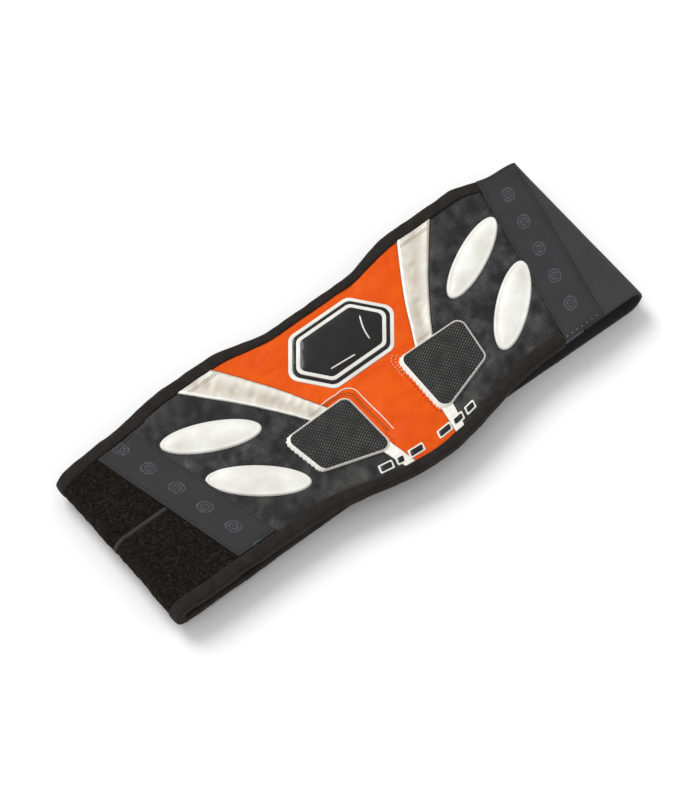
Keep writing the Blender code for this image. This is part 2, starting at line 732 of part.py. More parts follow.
def build_left_wing(parts):
    first = turned_s(-1, HINGE_TURN)
    second = turned_s(-1, math.pi - HINGE_TURN)
    end = under_s(-1, LEFT_WING_END_X)
    seam = GAP / 2
    wing_layers("top", slanted_outline(first + seam, 0.5), slanted_outline(first + seam, 1), parts)
    fold = stretch_outline(first - seam, second + seam, top_edge, bottom_edge)
    wing_layers("fold", fold, fold, parts)
    under = stretch_outline(second - seam, end + EDGE_INSET, under_top, under_bottom)
    under_seam = stretch_outline(second - seam, end + BINDING_HIP + 2 * GAP, under_top, under_bottom)
    wing_layers("under", under, under_seam, parts)

    top_start = binding_split(-1, top_edge) - GAP
    bottom_start = binding_split(-1, bottom_edge) - GAP
    depth = WING_LINING_END
    binding("binding_wing_top", top_edge, 1, top_start, first + seam, depth, parts)
    binding("binding_wing_bottom", bottom_edge, -1, bottom_start, first + seam, depth, parts)
    binding("binding_fold_top", top_edge, 1, first - seam, second + seam, depth, parts)
    binding("binding_fold_bottom", bottom_edge, -1, first - seam, second + seam, depth, parts)
    corner = end + BINDING_HIP + GAP
    binding("binding_under_top", under_top, 1, second - seam, corner, depth, parts)
    binding("binding_under_bottom", under_bottom, -1, second - seam, corner, depth, parts)
    build_end_binding("binding_under_end", end, depth, parts)


def build_end_binding(name, end, depth, parts):
    """The folded tape across the free end of the left wing."""
    top, bottom = -GAP - BINDING, depth + GAP + BINDING
    inner, shoulder = end + BINDING_HIP, end + BINDING
    section = [
        (inner, top),
        (shoulder, top),
        (end, top + BINDING),
        (end, bottom - BINDING),
        (shoulder, bottom),
        (inner, bottom),
        (inner, depth + GAP),
        (shoulder, depth + GAP),
        (shoulder, -GAP),
        (inner, -GAP),
    ]
    rings = [[(s, y, n) for s, n in section] for y in (under_bottom(end), under_top(end))]
    sweep(name, rings, "binding", parts, BINDING_CAP)


def build_panel_bindings(parts):
    top_left, bottom_left = (binding_split(-1, edge) for edge in (top_edge, bottom_edge))
    top_right = panel_end(1, 0.5)[0] - GAP
    tape_foot = slant_crossing(1, 0, bottom_edge) - 2 * GAP
    binding("binding_panel_top", top_edge, 1, top_left + GAP, top_right, LINING_END, parts)
    binding("binding_panel_bottom", bottom_edge, -1, bottom_left + GAP, tape_foot, LINING_END, parts)


def build_elastic(parts):
    """The elastic wing: its stretch on top, round the fold, and along the underside."""
    first = turned_s(1, HINGE_TURN)
    second = turned_s(1, math.pi - HINGE_TURN)
    end = under_s(1, ELASTIC_END_X)
    seam = GAP / 2
    top_start = slant_crossing(1, 0.5, top_edge) + GAP
    bottom_start = slant_crossing(1, 0.5, bottom_edge) + GAP
    upper = along(top_edge, top_start, first - seam)
    lower = along(bottom_edge, first - seam, bottom_start)
    plate("elastic_top", [upper + lower], ELASTIC_START, ELASTIC_END, "elastic", parts)
    fold = band_outline(top_edge, bottom_edge, first + seam, second - seam)
    plate("elastic_fold", [fold], ELASTIC_START, ELASTIC_END, "elastic", parts)
    under = band_outline(under_top, under_bottom, second + seam, end)
    plate("elastic_under", [under], ELASTIC_START, ELASTIC_END, "elastic", parts)


def rectangle(start, end, low, high):
    return [(start, low), (end, low), (end, high), (start, high)]


def build_closure(parts):
    """The seam at the elastic's end, and the panel with the hook strips that grip the plush."""
    start = under_s(1, ELASTIC_END_X) + GAP
    low, high = RIGHT_WING_BOTTOM, RIGHT_WING_TOP
    seam = rectangle(start, start + CLOSURE_SEAM, low, high)
    plate("closure_seam", [seam], ELASTIC_START, ELASTIC_END, "binding", parts)
    start += CLOSURE_SEAM + GAP
    end = start + CLOSURE_LENGTH
    corners = rounded(rectangle(start, end, low, high), CLOSURE_CORNER)
    free_corners = corners[CORNER_STEPS + 1 : 3 * (CORNER_STEPS + 1)]
    carrier = [(start, low), *free_corners, (start, high)]
    plate("closure_carrier", [carrier], ELASTIC_START, ELASTIC_END, "elastic", parts)
    for i, word in enumerate(("inner", "outer")):
        left = start + HOOK_MARGIN / 2 + i * (HOOK_WIDTH + HOOK_MARGIN / 2)
        strip = rectangle(left, left + HOOK_WIDTH, low + HOOK_MARGIN, high - HOOK_MARGIN)
        plate(f"hook_strip_{word}", [rounded(strip, HOOK_CORNER)], ELASTIC_END + GAP, HOOK_END, "hook", parts)
    grip_end = end - GRIP_SETBACK
    grip = rectangle(grip_end - GRIP, grip_end, low + HOOK_MARGIN, high - HOOK_MARGIN)
    plate("grip_tape", [rounded(grip, GRIP_CORNER)], ELASTIC_END + GAP, HOOK_END, "binding", parts)


# The joints' axes.


def hinge_point(side, turn):
    """A point on a fold's hinge axis: outside the belt's outer face, at that turn of the fold."""
    return place(turned_s(side, turn), 0.0, -HINGE_OUTSIDE)


def axis_points():
    """A point on each moving group's axis, and the group that carries it."""
    seam_start = under_s(1, ELASTIC_END_X)
    return {
        "left_fold": (hinge_point(-1, HINGE_TURN), None),
        "left_wing": (hinge_point(-1, math.pi - HINGE_TURN), "left_fold"),
        "right_fold": (hinge_point(1, HINGE_TURN), None),
        "right_wing": (hinge_point(1, math.pi - HINGE_TURN), "right_fold"),
        "closure_seam": (place(seam_start, 0.0, ELASTIC_END), "right_wing"),
        "closure_panel": (place(seam_start + CLOSURE_SEAM + GAP, 0.0, ELASTIC_END), "closure_seam"),
    }


def parent_to(obj, empty):
    """obj follows the empty, and stays where it is."""
    obj.parent = empty
    obj.matrix_parent_inverse = empty.matrix_world.inverted()


def add_axes(parts):
    """An empty on each joint's axis, with the pieces that turn or slide on it."""
    axes = {}
    for group, (point, carrier) in axis_points().items():
        empty = bpy.data.objects.new(f"{group}_axis", None)
        empty.location = point
        parts.objects.link(empty)
        bpy.context.view_layer.update()
        if carrier:
            parent_to(empty, axes[carrier])
        for name in MOVING[group]:
            parent_to(bpy.data.objects[name], empty)
        axes[group] = empty


def main():
    clear_scene()
    parts = collection("kidney_belt")
    cutters = collection("cutters")
    build_shell(parts)
    build_vents(parts)
    build_foam(parts, cutters)
    build_ovals(parts)
    build_badge(parts)
    build_end_tapes(parts)
    build_panel_bindings(parts)
    build_left_wing(parts)
    build_elastic(parts)
    build_closure(parts)
    add_axes(parts)


main()
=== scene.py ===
"""Kidney belt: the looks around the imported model.

As in the part's source, the belt is drawn flat: s runs along it from the middle of the back, y across it
towards its top edge, and n from its outer face inwards. place() folds the flat belt into its loop.
"""

import math

import bpy
import numpy as np
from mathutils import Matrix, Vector, geometry


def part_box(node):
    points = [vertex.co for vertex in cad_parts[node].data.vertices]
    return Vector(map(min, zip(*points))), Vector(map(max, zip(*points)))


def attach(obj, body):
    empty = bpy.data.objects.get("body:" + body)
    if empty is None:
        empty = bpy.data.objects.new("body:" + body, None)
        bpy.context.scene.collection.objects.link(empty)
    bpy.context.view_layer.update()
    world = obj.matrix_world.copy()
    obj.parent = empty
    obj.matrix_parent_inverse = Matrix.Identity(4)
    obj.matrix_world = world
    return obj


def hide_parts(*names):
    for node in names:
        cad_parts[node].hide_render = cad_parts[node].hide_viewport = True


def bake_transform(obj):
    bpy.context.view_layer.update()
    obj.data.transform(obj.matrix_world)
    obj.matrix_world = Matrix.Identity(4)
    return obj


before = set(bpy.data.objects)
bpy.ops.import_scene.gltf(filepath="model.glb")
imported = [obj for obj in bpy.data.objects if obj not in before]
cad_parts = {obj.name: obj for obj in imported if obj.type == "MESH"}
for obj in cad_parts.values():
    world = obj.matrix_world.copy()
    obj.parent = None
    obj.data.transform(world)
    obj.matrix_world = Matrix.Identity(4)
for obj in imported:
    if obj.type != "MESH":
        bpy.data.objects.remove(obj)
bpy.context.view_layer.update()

MM = 0.001

# The loop and the outline, as in the part's source.
TOP_HEIGHT = 31.0 * MM
FOLD_S = {-1: 265.7 * MM, 1: 231.4 * MM}
RADIUS = {-1: 12.4 * MM, 1: 15.8 * MM}
TOP_MIDDLE, TOP_HIP, TOP_FOLD = 100.5 * MM, 113.0 * MM, 100.0 * MM
TOP_WING = {-1: 105.0 * MM, 1: 101.5 * MM}
BOTTOM_MIDDLE, BOTTOM_HIP, BOTTOM_FOLD = -94.5 * MM, -74.5 * MM, -73.4 * MM
TOP_RISE = (40.0 * MM, 105.0 * MM)
TOP_DROPS = {
    -1: ((145.0 * MM, 225.0 * MM), (225.0 * MM, 285.0 * MM)),
    1: ((172.0 * MM, 218.0 * MM), (218.0 * MM, 245.0 * MM)),
}
BOTTOM_HIP_S = 135.0 * MM
BOTTOM_RISE = (225.0 * MM, 305.0 * MM)
GAP = 0.3 * MM
SHELL = 1.2 * MM
FOAM_END, LINING_END = 7.5 * MM, 9.0 * MM
PLUSH, WING_CORE_END, WING_LINING_END = 2.2 * MM, 5.5 * MM, 6.8 * MM
ELASTIC_START, ELASTIC_END, HOOK_END = 0.6 * MM, 3.0 * MM, 4.7 * MM
BINDING_MIDDLE, BINDING_HIP = 9.5 * MM, 12.5 * MM
EDGE_INSET = 1.3 * MM
TAPE_WIDTH, TAPE_INNER_S, TAPE_SLOPE, TAPE_LEVEL = 42.0 * MM, 199.5 * MM, 0.243, 100.0 * MM
LEFT_WING_END_X, LEFT_WING_TOP, LEFT_WING_BOTTOM = -84.0 * MM, 92.0 * MM, -72.0 * MM
ELASTIC_END_X, CLOSURE_SEAM, CLOSURE_LENGTH = -58.0 * MM, 14.0 * MM, 112.0 * MM
RIGHT_WING_TOP, RIGHT_WING_BOTTOM = 84.0 * MM, -70.0 * MM
PLUSH_SEAM_Y, PLUSH_SEAM_WIDTH = 16.0 * MM, 5.0 * MM
HOOK_WIDTH, HOOK_MARGIN, GRIP = 42.0 * MM, 10.0 * MM, 8.0 * MM
WINDOW = [(30.2, 5.1), (99.6, 4.0), (92.3, -41.4), (28.6, -61.8)]
FLASH_OUTER = [(146.0, 103.0), (128.5, 82.7), (104.7, 54.6), (83.6, 26.4), (73.0, 10.8)]
FLASH_INNER = [(107.0, 103.0), (90.6, 78.3), (72.0, 48.4), (59.0, 23.8), (52.0, 10.8)]
PANEL_SPLIT_S, TAIL_WIDTH, TAIL_TOP_Y, TAIL_LEAN = 25.0 * MM, 9.5 * MM, -67.5 * MM, 4.0 * MM
OVALS = {
    (-1, "upper"): ((147.8, 47.5), (45.5, 15.2), 26.5),
    (-1, "lower"): ((142.5, -13.3), (46.5, 15.4), 40.0),
    (1, "upper"): ((147.4, 45.4), (46.5, 13.9), 26.5),
    (1, "lower"): ((144.0, -15.4), (47.0, 14.9), 40.0),
}
BADGE_CENTRE, BADGE_SIZE = (1.0 * MM, 50.0 * MM), (120.0 * MM, 68.0 * MM)
BADGE_CORNERS = ((-1, 0), (-0.55, 1), (0.55, 1), (1, 0), (0.55, -1), (-0.55, -1))
LABEL_WIDTH, LABEL_Y, LABEL_SAG, LABEL_WAVE = 10.0 * MM, -69.0 * MM, 8.0 * MM, 134.4 * MM
SIDES = ((-1, "left"), (1, "right"))

# Where the flat belt's middle is in the frame: the badge says it.
badge_low, badge_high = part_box("badge_face")
badge_middle = (badge_low + badge_high) / 2
ORIGIN = np.array([badge_middle.x - BADGE_CENTRE[0], badge_middle.y - BADGE_CENTRE[1], 0.0])


# The camera, above and a little to the left of the belt.

AZIMUTH, ELEVATION = math.radians(-38.86), math.radians(60.35)
CAMERA_DISTANCE, LENS = 4.4, 225.0
TARGET = Vector(ORIGIN) + Vector((-29.4 * MM, 0.0, TOP_HEIGHT))


def build_camera():
    data = bpy.data.cameras.new("camera")
    data.lens = LENS
    data.sensor_width = 36.0
    data.clip_start, data.clip_end = 0.05, 50.0
    camera = bpy.data.objects.new("camera", data)
    bpy.context.scene.collection.objects.link(camera)
    level = math.cos(ELEVATION)
    back = Vector((math.sin(AZIMUTH) * level, -math.cos(AZIMUTH) * level, math.sin(ELEVATION)))
    camera.location = TARGET + back * CAMERA_DISTANCE
    camera.rotation_mode = "QUATERNION"
    camera.rotation_quaternion = (-back).to_track_quat("-Z", "Y")
    bpy.context.scene.camera = camera


build_camera()


# The folded shape and the outline. These take single numbers or arrays.


def place(s, y, n):
    s, y, n = np.broadcast_arrays(np.asarray(s, float), np.asarray(y, float), np.asarray(n, float))
    side = np.where(s >= 0, 1.0, -1.0)
    start = np.where(s >= 0, FOLD_S[1], FOLD_S[-1])
    radius = np.where(s >= 0, RADIUS[1], RADIUS[-1])
    past = side * s - start
    turn = np.clip(past / radius, 0, math.pi)
    straight = np.minimum(past, 0) - np.maximum(past - math.pi * radius, 0)
    x = side * (start + straight + (radius - n) * np.sin(turn))
    z = TOP_HEIGHT - radius + (radius - n) * np.cos(turn)
    return np.stack([x, y, z], -1) + ORIGIN


def turned_s(side, turn):
    return side * (FOLD_S[side] + RADIUS[side] * turn)


def under_s(side, x):
    return turned_s(side, math.pi) + side * (FOLD_S[side] - side * x)


def ease(value, start, end):
    t = np.clip((value - start) / (end - start), 0.0, 1.0)
    return t * t * (3 - 2 * t)


def mix(a, b, t):
    return a + (b - a) * t


def top_edge(s):
    side, reach = (1 if s > 0 else -1), abs(s)
    hip = mix(TOP_MIDDLE, TOP_HIP, ease(reach, *TOP_RISE))
    wing = mix(hip, TOP_WING[side], ease(reach, *TOP_DROPS[side][0]))
    return mix(wing, TOP_FOLD, ease(reach, *TOP_DROPS[side][1]))


def bottom_edge(s):
    reach = min(abs(s) / BOTTOM_HIP_S, 1.0)
    hip = mix(BOTTOM_HIP, BOTTOM_MIDDLE, 0.5 + 0.5 * math.cos(math.pi * reach))
    return mix(hip, BOTTOM_FOLD, ease(abs(s), *BOTTOM_RISE))


def taper(s, edge, at_right_end, at_left_end):
    side, end_x, at_end = (1, ELASTIC_END_X, at_right_end) if s > 0 else (-1, LEFT_WING_END_X, at_left_end)
    start, end = turned_s(side, math.pi), under_s(side, end_x)
    return mix(edge(start), at_end, max(0.0, (s - start) / (end - start)))


def upper_edge(s):
    """The belt's top edge all the way to the end of each wing."""
    if abs(s) < abs(turned_s(1 if s > 0 else -1, math.pi)):
        return top_edge(s)
    return taper(s, top_edge, RIGHT_WING_TOP, LEFT_WING_TOP)


def lower_edge(s):
    if abs(s) < abs(turned_s(1 if s > 0 else -1, math.pi)):
        return bottom_edge(s)
    return taper(s, bottom_edge, RIGHT_WING_BOTTOM, LEFT_WING_BOTTOM)


def binding_width(s):
    return mix(BINDING_MIDDLE, BINDING_HIP, ease(abs(s), *TOP_RISE))


def slant_s(side, y, across):
    return side * (TAPE_INNER_S + across * TAPE_WIDTH + (y - TAPE_LEVEL) * TAPE_SLOPE)


def slant_crossing(side, across, edge):
    s = side * TAPE_INNER_S
    for _ in range(12):
        s = slant_s(side, edge(s), across)
    return s


def along(edge, start, end, offset=0.0, step=3.0 * MM):
    count = max(1, math.ceil(abs(end - start) / step))
    return [(s, edge(s) + offset) for s in np.linspace(start, end, count + 1)]


def smooth(points, steps=8):
    """A Catmull-Rom curve through the points."""
    ends = np.array([points[0], *points, points[-1]])
    curve = []
    for p, q, r, w in zip(ends, ends[1:], ends[2:], ends[3:]):
        for t in np.arange(steps) / steps:
            second, third = 2 * p - 5 * q + 4 * r - w, 3 * q - p - 3 * r + w
            curve.append(tuple(0.5 * (2 * q + (r - p) * t + second * t**2 + third * t**3)))
    return curve + [tuple(ends[-1])]


def rounded(points, radius, steps=8):
    """A polygon with each corner turned on an arc."""
    result = []
    for i, corner in enumerate(points):
        corner = Vector(corner)
        before = (Vector(points[i - 1]) - corner).normalized()
        after = (Vector(points[(i + 1) % len(points)]) - corner).normalized()
        half = before.angle(after) / 2
        centre = corner + (before + after).normalized() * radius / math.sin(half)
        reach = radius / math.tan(half)
        first, last = corner + before * reach - centre, corner + after * reach - centre
        sweep = first.angle(last)
        for t in np.arange(steps + 1) / steps:
            arm = (first * math.sin((1 - t) * sweep) + last * math.sin(t * sweep)) / math.sin(sweep)
            result.append(tuple(centre + arm))
    return result


def inset(points, distances):
    """A convex polygon with each side moved inwards by its own distance."""
    if not hasattr(distances, "__len__"):
        distances = [distances] * len(points)
    middle = sum((Vector(p) for p in points), Vector((0, 0))) / len(points)
    lines = []
    for a, b, distance in zip(points, points[1:] + points[:1], distances):
        a, b = Vector(a), Vector(b)
        normal = (b - a).orthogonal().normalized()
        if normal.dot(middle - a) < 0:
            normal.negate()
        lines.append((a + normal * distance, (b - a).normalized()))
    corners = []
    for (p, u), (q, v) in zip(lines[-1:] + lines[:-1], lines):
        corners.append(tuple(p + u * ((q - p).cross(v) / u.cross(v))))
    return corners


def ellipse(centre, halves, slant, count=72):
    turn, a = math.radians(slant), np.linspace(0, 2 * math.pi, count, endpoint=False)
    u, v = halves[0] * np.cos(a), halves[1] * np.sin(a)
    s = centre[0] + u * math.cos(turn) - v * math.sin(turn)
    y = centre[1] + u * math.sin(turn) + v * math.cos(turn)
    return list(zip(s, y))


# Flat outlines: distances, tests and fine meshes.


def sides_of(lines, closed=True):
    starts, ends = [], []
    for line in lines:
        line = np.array(line, float)
        starts.append(line if closed else line[:-1])
        ends.append(np.roll(line, -1, 0) if closed else line[1:])
    return np.concatenate(starts), np.concatenate(ends)


BATCH = 1500  # points measured at a time


def distance_to(points, lines, closed=True):
    """How far each flat point is from the nearest of the lines."""
    a, b = sides_of(lines, closed)
    d = b - a
    best = np.empty(len(points))
    for i in range(0, len(points), BATCH):
        p = points[i : i + BATCH, None]
        t = np.clip(((p - a) * d).sum(-1) / np.maximum((d * d).sum(-1), 1e-18), 0, 1)
        best[i : i + BATCH] = np.sqrt((((p - a) - t[..., None] * d) ** 2).sum(-1)).min(1)
    return best


def inside(points, outlines):
    a, b = sides_of(outlines)
    found = np.zeros(len(points), bool)
    rise = np.where(b[:, 1] == a[:, 1], 1e-18, b[:, 1] - a[:, 1])
    for i in range(0, len(points), BATCH):
        x, y = points[i : i + BATCH, 0, None], points[i : i + BATCH, 1, None]
        hits = ((a[:, 1] > y) != (b[:, 1] > y)) & (x < (b[:, 0] - a[:, 0]) * (y - a[:, 1]) / rise + a[:, 0])
        found[i : i + BATCH] = hits.sum(1) % 2 == 1
    return found


def densify(outline, cell):
    points = []
    for a, b in zip(outline, outline[1:] + outline[:1]):
        a, b = np.array(a), np.array(b)
        length = np.hypot(*(b - a))
        if length < 1e-7:
            continue
        count = max(1, math.ceil(length / cell))
        points += [tuple(a + (b - a) * i / count) for i in range(count)]
    return points


def fill(outlines, cell, rims):
    """A fine flat mesh inside the outlines, with rings of points at the rims' distances from them."""
    outlines = [densify(list(outline), cell) for outline in outlines]
    points, edges = [], []
    for outline in outlines:
        first = len(points)
        points += outline
        edges += [(first + i, first + (i + 1) % len(outline)) for i in range(len(outline))]
    rings = []
    for rim in rims:
        for outline in outlines:
            line = np.array(outline)
            ahead = np.roll(line, -1, 0) - np.roll(line, 1, 0)
            normal = np.stack([-ahead[:, 1], ahead[:, 0]], -1)
            normal /= np.maximum(np.linalg.norm(normal, axis=1), 1e-12)[:, None]
            for sign in (-1, 1):
                ring = line + sign * rim * normal
                ring = ring[inside(ring, outlines)]
                rings.append(ring[distance_to(ring, outlines) > 0.93 * rim])
    low, high = np.array(points).min(0), np.array(points).max(0)
    rows, grid = np.arange(low[1] + cell * 0.4, high[1], cell * 0.87), []
    for k, y in enumerate(rows):
        line = np.arange(low[0] + cell * (0.5 if k % 2 else 0.0), high[0], cell)
        grid.append(np.stack([line, np.full(len(line), y)], -1))
    grid = np.concatenate(grid)
    grid = grid[inside(grid, outlines)]
    grid = grid[distance_to(grid, outlines) > (rims[-1] if rims else 0.0) + 0.4 * cell]
    every = np.concatenate([np.array(points), *rings, grid])
    found = geometry.delaunay_2d_cdt([Vector(p) for p in every], edges, [], 0, 1e-7)
    flat = np.array([tuple(v) for v in found[0]])
    faces = np.array([f for f in found[2] if len(f) == 3])
    a, b, c = flat[faces[:, 0]], flat[faces[:, 1]], flat[faces[:, 2]]
    area = (b[:, 0] - a[:, 0]) * (c[:, 1] - a[:, 1]) - (b[:, 1] - a[:, 1]) * (c[:, 0] - a[:, 0])
    faces = np.where((area < 0)[:, None], faces[:, ::-1], faces)
    keep = inside((a + b + c) / 3, outlines) & (np.abs(area) > 1e-12)
    faces = faces[keep]
    used, faces = np.unique(faces, return_inverse=True)
    return flat[used], faces.reshape(-1, 3), outlines


# Objects.


def new_object(name, flat, faces, look, sharp=50.0, share=None):
    """A shaded mesh over flat points (s, y, n), which it keeps for the materials to read."""
    mesh = bpy.data.meshes.new(f"{name}_visual")
    mesh.from_pydata(place(flat[:, 0], flat[:, 1], flat[:, 2]).tolist(), [], faces)
    mesh.update()
    attribute = mesh.attributes.new("flat", "FLOAT_VECTOR", "POINT")
    attribute.data.foreach_set("vector", np.asarray(flat, np.float32).ravel())
    if share is not None:
        mesh.attributes.new("share", "FLOAT", "POINT").data.foreach_set("value", share.astype(np.float32))
    mesh.shade_smooth()
    mesh.set_sharp_from_angle(angle=math.radians(sharp))
    mesh.materials.append(LOOKS[look])
    obj = bpy.data.objects.new(f"{name}_visual", mesh)
    bpy.context.scene.collection.objects.link(obj)
    return obj


def as_array(value, like):
    return np.broadcast_to(np.asarray(value, float), like.shape).copy()


def layer(outlines, cell, rims, top, bottom):
    """A closed skin. top and bottom are an n, or give it from (s, y, distance to the outline)."""
    flat, faces, outlines = fill(outlines, cell, rims)
    s, y = flat[:, 0], flat[:, 1]
    d = distance_to(flat, outlines)
    n = [as_array(face(s, y, d) if callable(face) else face, s) for face in (top, bottom)]
    count = len(flat)
    ends = np.concatenate([faces[:, [0, 1]], faces[:, [1, 2]], faces[:, [2, 0]]])
    keys = {tuple(e) for e in ends.tolist()}
    rim = sorted((a, b) for a, b in keys if (b, a) not in keys)
    every = faces.tolist() + (faces[:, ::-1] + count).tolist()
    every += [(b, a, a + count, b + count) for a, b in rim]
    return np.stack([np.tile(s, 2), np.tile(y, 2), np.concatenate(n)], -1), every


def slab(name, outlines, cell, rims, top, bottom, look, sharp=50.0, share=None):
    """A layer of the belt. share gives each point's place between two lines, for the look to read."""
    points, faces = layer(outlines, cell, rims, top, bottom)
    return new_object(name, points, faces, look, sharp, share and share(points[:, :2]))


def joined(parts):
    """One mesh of many: all their points, and their faces counted on."""
    points, faces, first = [], [], 0
    for part, part_faces in parts:
        points.append(part)
        faces += [tuple(first + i for i in face) for face in part_faces]
        first += len(part)
    return np.concatenate(points), faces


def laced(rows, sides):
    """The faces between rows of points, each row a closed ring of so many sides."""
    faces = []
    for i in range(rows - 1):
        for k in range(sides):
            j = (k + 1) % sides
            faces.append((i * sides + k, i * sides + j, (i + 1) * sides + j, (i + 1) * sides + k))
    return faces


def round_edge(d, radius):
    """How far a rounded edge has dropped, at a distance from it."""
    t = np.clip(d / radius, 0, 1)
    return radius * (1 - np.sqrt(np.maximum(1 - (1 - t) ** 2, 0)))


def tube_parts(path, radius, sides):
    """Points and faces of one tube along flat points (s, y, n), thinner at its ends."""
    path = np.array(path, float)
    ahead = np.gradient(path, axis=0)
    ahead /= np.maximum(np.linalg.norm(ahead, axis=1), 1e-12)[:, None]
    up = np.array([0.0, 0.0, 1.0])
    across = np.cross(ahead, up)
    across /= np.maximum(np.linalg.norm(across, axis=1), 1e-12)[:, None]
    rise = np.cross(across, ahead)
    a = np.linspace(0, 2 * math.pi, sides, endpoint=False)
    size = np.full(len(path), radius)
    size[0] = size[-1] = radius * 0.55
    ring = across[:, None] * np.cos(a)[None, :, None] + rise[:, None] * np.sin(a)[None, :, None]
    points = (path[:, None] + ring * size[:, None, None]).reshape(-1, 3)
    last = (len(path) - 1) * sides
    ends = [tuple(range(sides))[::-1], tuple(range(last, last + sides))]
    return points, laced(len(path), sides) + ends


def threads(name, paths, radius, look, sides=6):
    """Many tubes in one object, for stitches and piping."""
    return new_object(name, *joined(tube_parts(path, radius, sides) for path in paths), look, 80.0)


def resample(line, step):
    line = np.array(line, float)
    reach = np.concatenate([[0], np.cumsum(np.linalg.norm(np.diff(line, axis=0), axis=1))])
    count = max(2, int(reach[-1] / step) + 1)
    stops = np.linspace(0, reach[-1], count)
    return np.stack([np.interp(stops, reach, line[:, k]) for k in range(line.shape[1])], -1)


def stitch_paths(line, height, length=2.6 * MM, pitch=3.6 * MM, arch=0.35 * MM):
    """Short arched stitches along a flat line. height gives n from (s, y)."""
    per, points = 12, 5
    fine, used = resample(line, pitch / per), max(3, int(per * length / pitch))
    paths = []
    for i in range(0, len(fine) - used, per):
        part = fine[i : i + used][np.linspace(0, used - 1, points).astype(int)]
        lift = np.sin(np.linspace(0, math.pi, points)) * arch
        n = as_array(height(part[:, 0], part[:, 1]), part[:, 0]) + 0.15 * MM - lift
        paths.append(np.column_stack([part, n]))
    return paths


def zigzag(stops, reach):
    """Each stop with a step to one side or the other in turn."""
    return [(stop, reach if k % 2 else -reach) for k, stop in enumerate(stops)]


def waves(a, b, size, seed=0.0):
    """A smooth repeatable unevenness between -1 and 1 that varies over about that size."""
    u, v = a / size, b / size
    total = np.sin(2.1 * u + 1.3 * v + seed) + np.sin(-1.7 * u + 2.3 * v + 1.7 * seed + 1.0)
    total = total + 0.7 * np.sin(3.9 * u + 0.6 * np.sin(2.2 * v + seed) + 2.0)
    total = total + 0.5 * np.sin(4.6 * v - 1.1 * u + 3.0 * seed)
    return total / 3.2


# Materials.


LOOKS = {}


class Look:
    """A material's node tree, with short calls for the patterns."""

    def __init__(self, name, colour, roughness, **sockets):
        LOOKS[name] = material = bpy.data.materials.new(name)
        material.use_nodes = True
        self.tree = material.node_tree
        self.shader = self.tree.nodes["Principled BSDF"]
        self.shader.inputs["Base Color"].default_value = (*colour, 1.0)
        self.shader.inputs["Roughness"].default_value = roughness
        for socket, value in sockets.items():
            self.shader.inputs[socket.replace("_", " ")].default_value = value
        self.vector = self.point_value("flat", "Vector")
        split = self.node("ShaderNodeSeparateXYZ")
        self.link(self.vector, split.inputs[0])
        self.s, self.y = split.outputs[:2]

    def node(self, kind):
        return self.tree.nodes.new(kind)

    def link(self, source, target):
        self.tree.links.new(source, target)

    def point_value(self, name, output):
        """What the mesh stores on its points under that name."""
        node = self.node("ShaderNodeAttribute")
        node.attribute_name = name
        return node.outputs[output]

    def feed(self, value, socket):
        if hasattr(value, "links"):
            self.link(value, socket)
        else:
            socket.default_value = value

    def math(self, operation, *values):
        node = self.node("ShaderNodeMath")
        node.operation = operation
        for value, socket in zip(values, node.inputs):
            self.feed(value, socket)
        return node.outputs[0]

    def times(self, one, two):
        return self.math("MULTIPLY", one, two)

    def noise(self, size, detail=3.0, roughness=0.55, stretch=None):
        vector = self.vector
        if stretch:
            scale = self.node("ShaderNodeVectorMath")
            scale.operation = "MULTIPLY"
            self.link(vector, scale.inputs[0])
            scale.inputs[1].default_value = stretch
            vector = scale.outputs[0]
        node = self.node("ShaderNodeTexNoise")
        node.inputs["Scale"].default_value = 1.0 / size
        node.inputs["Detail"].default_value = detail
        node.inputs["Roughness"].default_value = roughness
        self.link(vector, node.inputs["Vector"])
        return node.outputs["Fac"]

    def cells(self, size):
        node = self.node("ShaderNodeTexVoronoi")
        node.inputs["Scale"].default_value = 1.0 / size
        self.link(self.vector, node.inputs["Vector"])
        return node.outputs["Distance"]

    def sine(self, coordinate, pitch, phase=0.0):
        """0 to 1, once every pitch."""
        turned = self.math("MULTIPLY_ADD", coordinate, 2 * math.pi / pitch, phase)
        return self.math("MULTIPLY_ADD", self.math("SINE", turned), 0.5, 0.5)

    def along(self, degrees):
        """The coordinate along a direction in the flat belt."""
        turn = math.radians(degrees)
        part = self.times(self.s, math.cos(turn))
        return self.math("MULTIPLY_ADD", self.y, math.sin(turn), part)

    def span(self, value, low, high, out_low=0.0, out_high=1.0):
        node = self.node("ShaderNodeMapRange")
        node.clamp = True
        for k, number in enumerate((value, low, high, out_low, out_high)):
            self.feed(number, node.inputs[k])
        return node.outputs[0]

    def blend(self, factor, one, two):
        node = self.node("ShaderNodeMix")
        node.data_type = "RGBA"
        self.feed(factor, node.inputs["Factor"])
        colours = [i for i in node.inputs if i.type == "RGBA"]
        for value, socket in zip((one, two), colours):
            self.feed((*value, 1.0) if isinstance(value, tuple) and len(value) == 3 else value, socket)
        return [o for o in node.outputs if o.type == "RGBA"][0]

    def paint(self, colour):
        self.link(colour, self.shader.inputs["Base Color"])

    def rough(self, value):
        self.link(value, self.shader.inputs["Roughness"])

    def bump(self, height, distance, strength=1.0):
        node = self.node("ShaderNodeBump")
        node.inputs["Distance"].default_value = distance
        node.inputs["Strength"].default_value = strength
        self.link(height, node.inputs["Height"])
        previous = self.shader.inputs["Normal"]
        if previous.is_linked:
            self.link(previous.links[0].from_socket, node.inputs["Normal"])
        self.link(node.outputs[0], self.shader.inputs["Normal"])


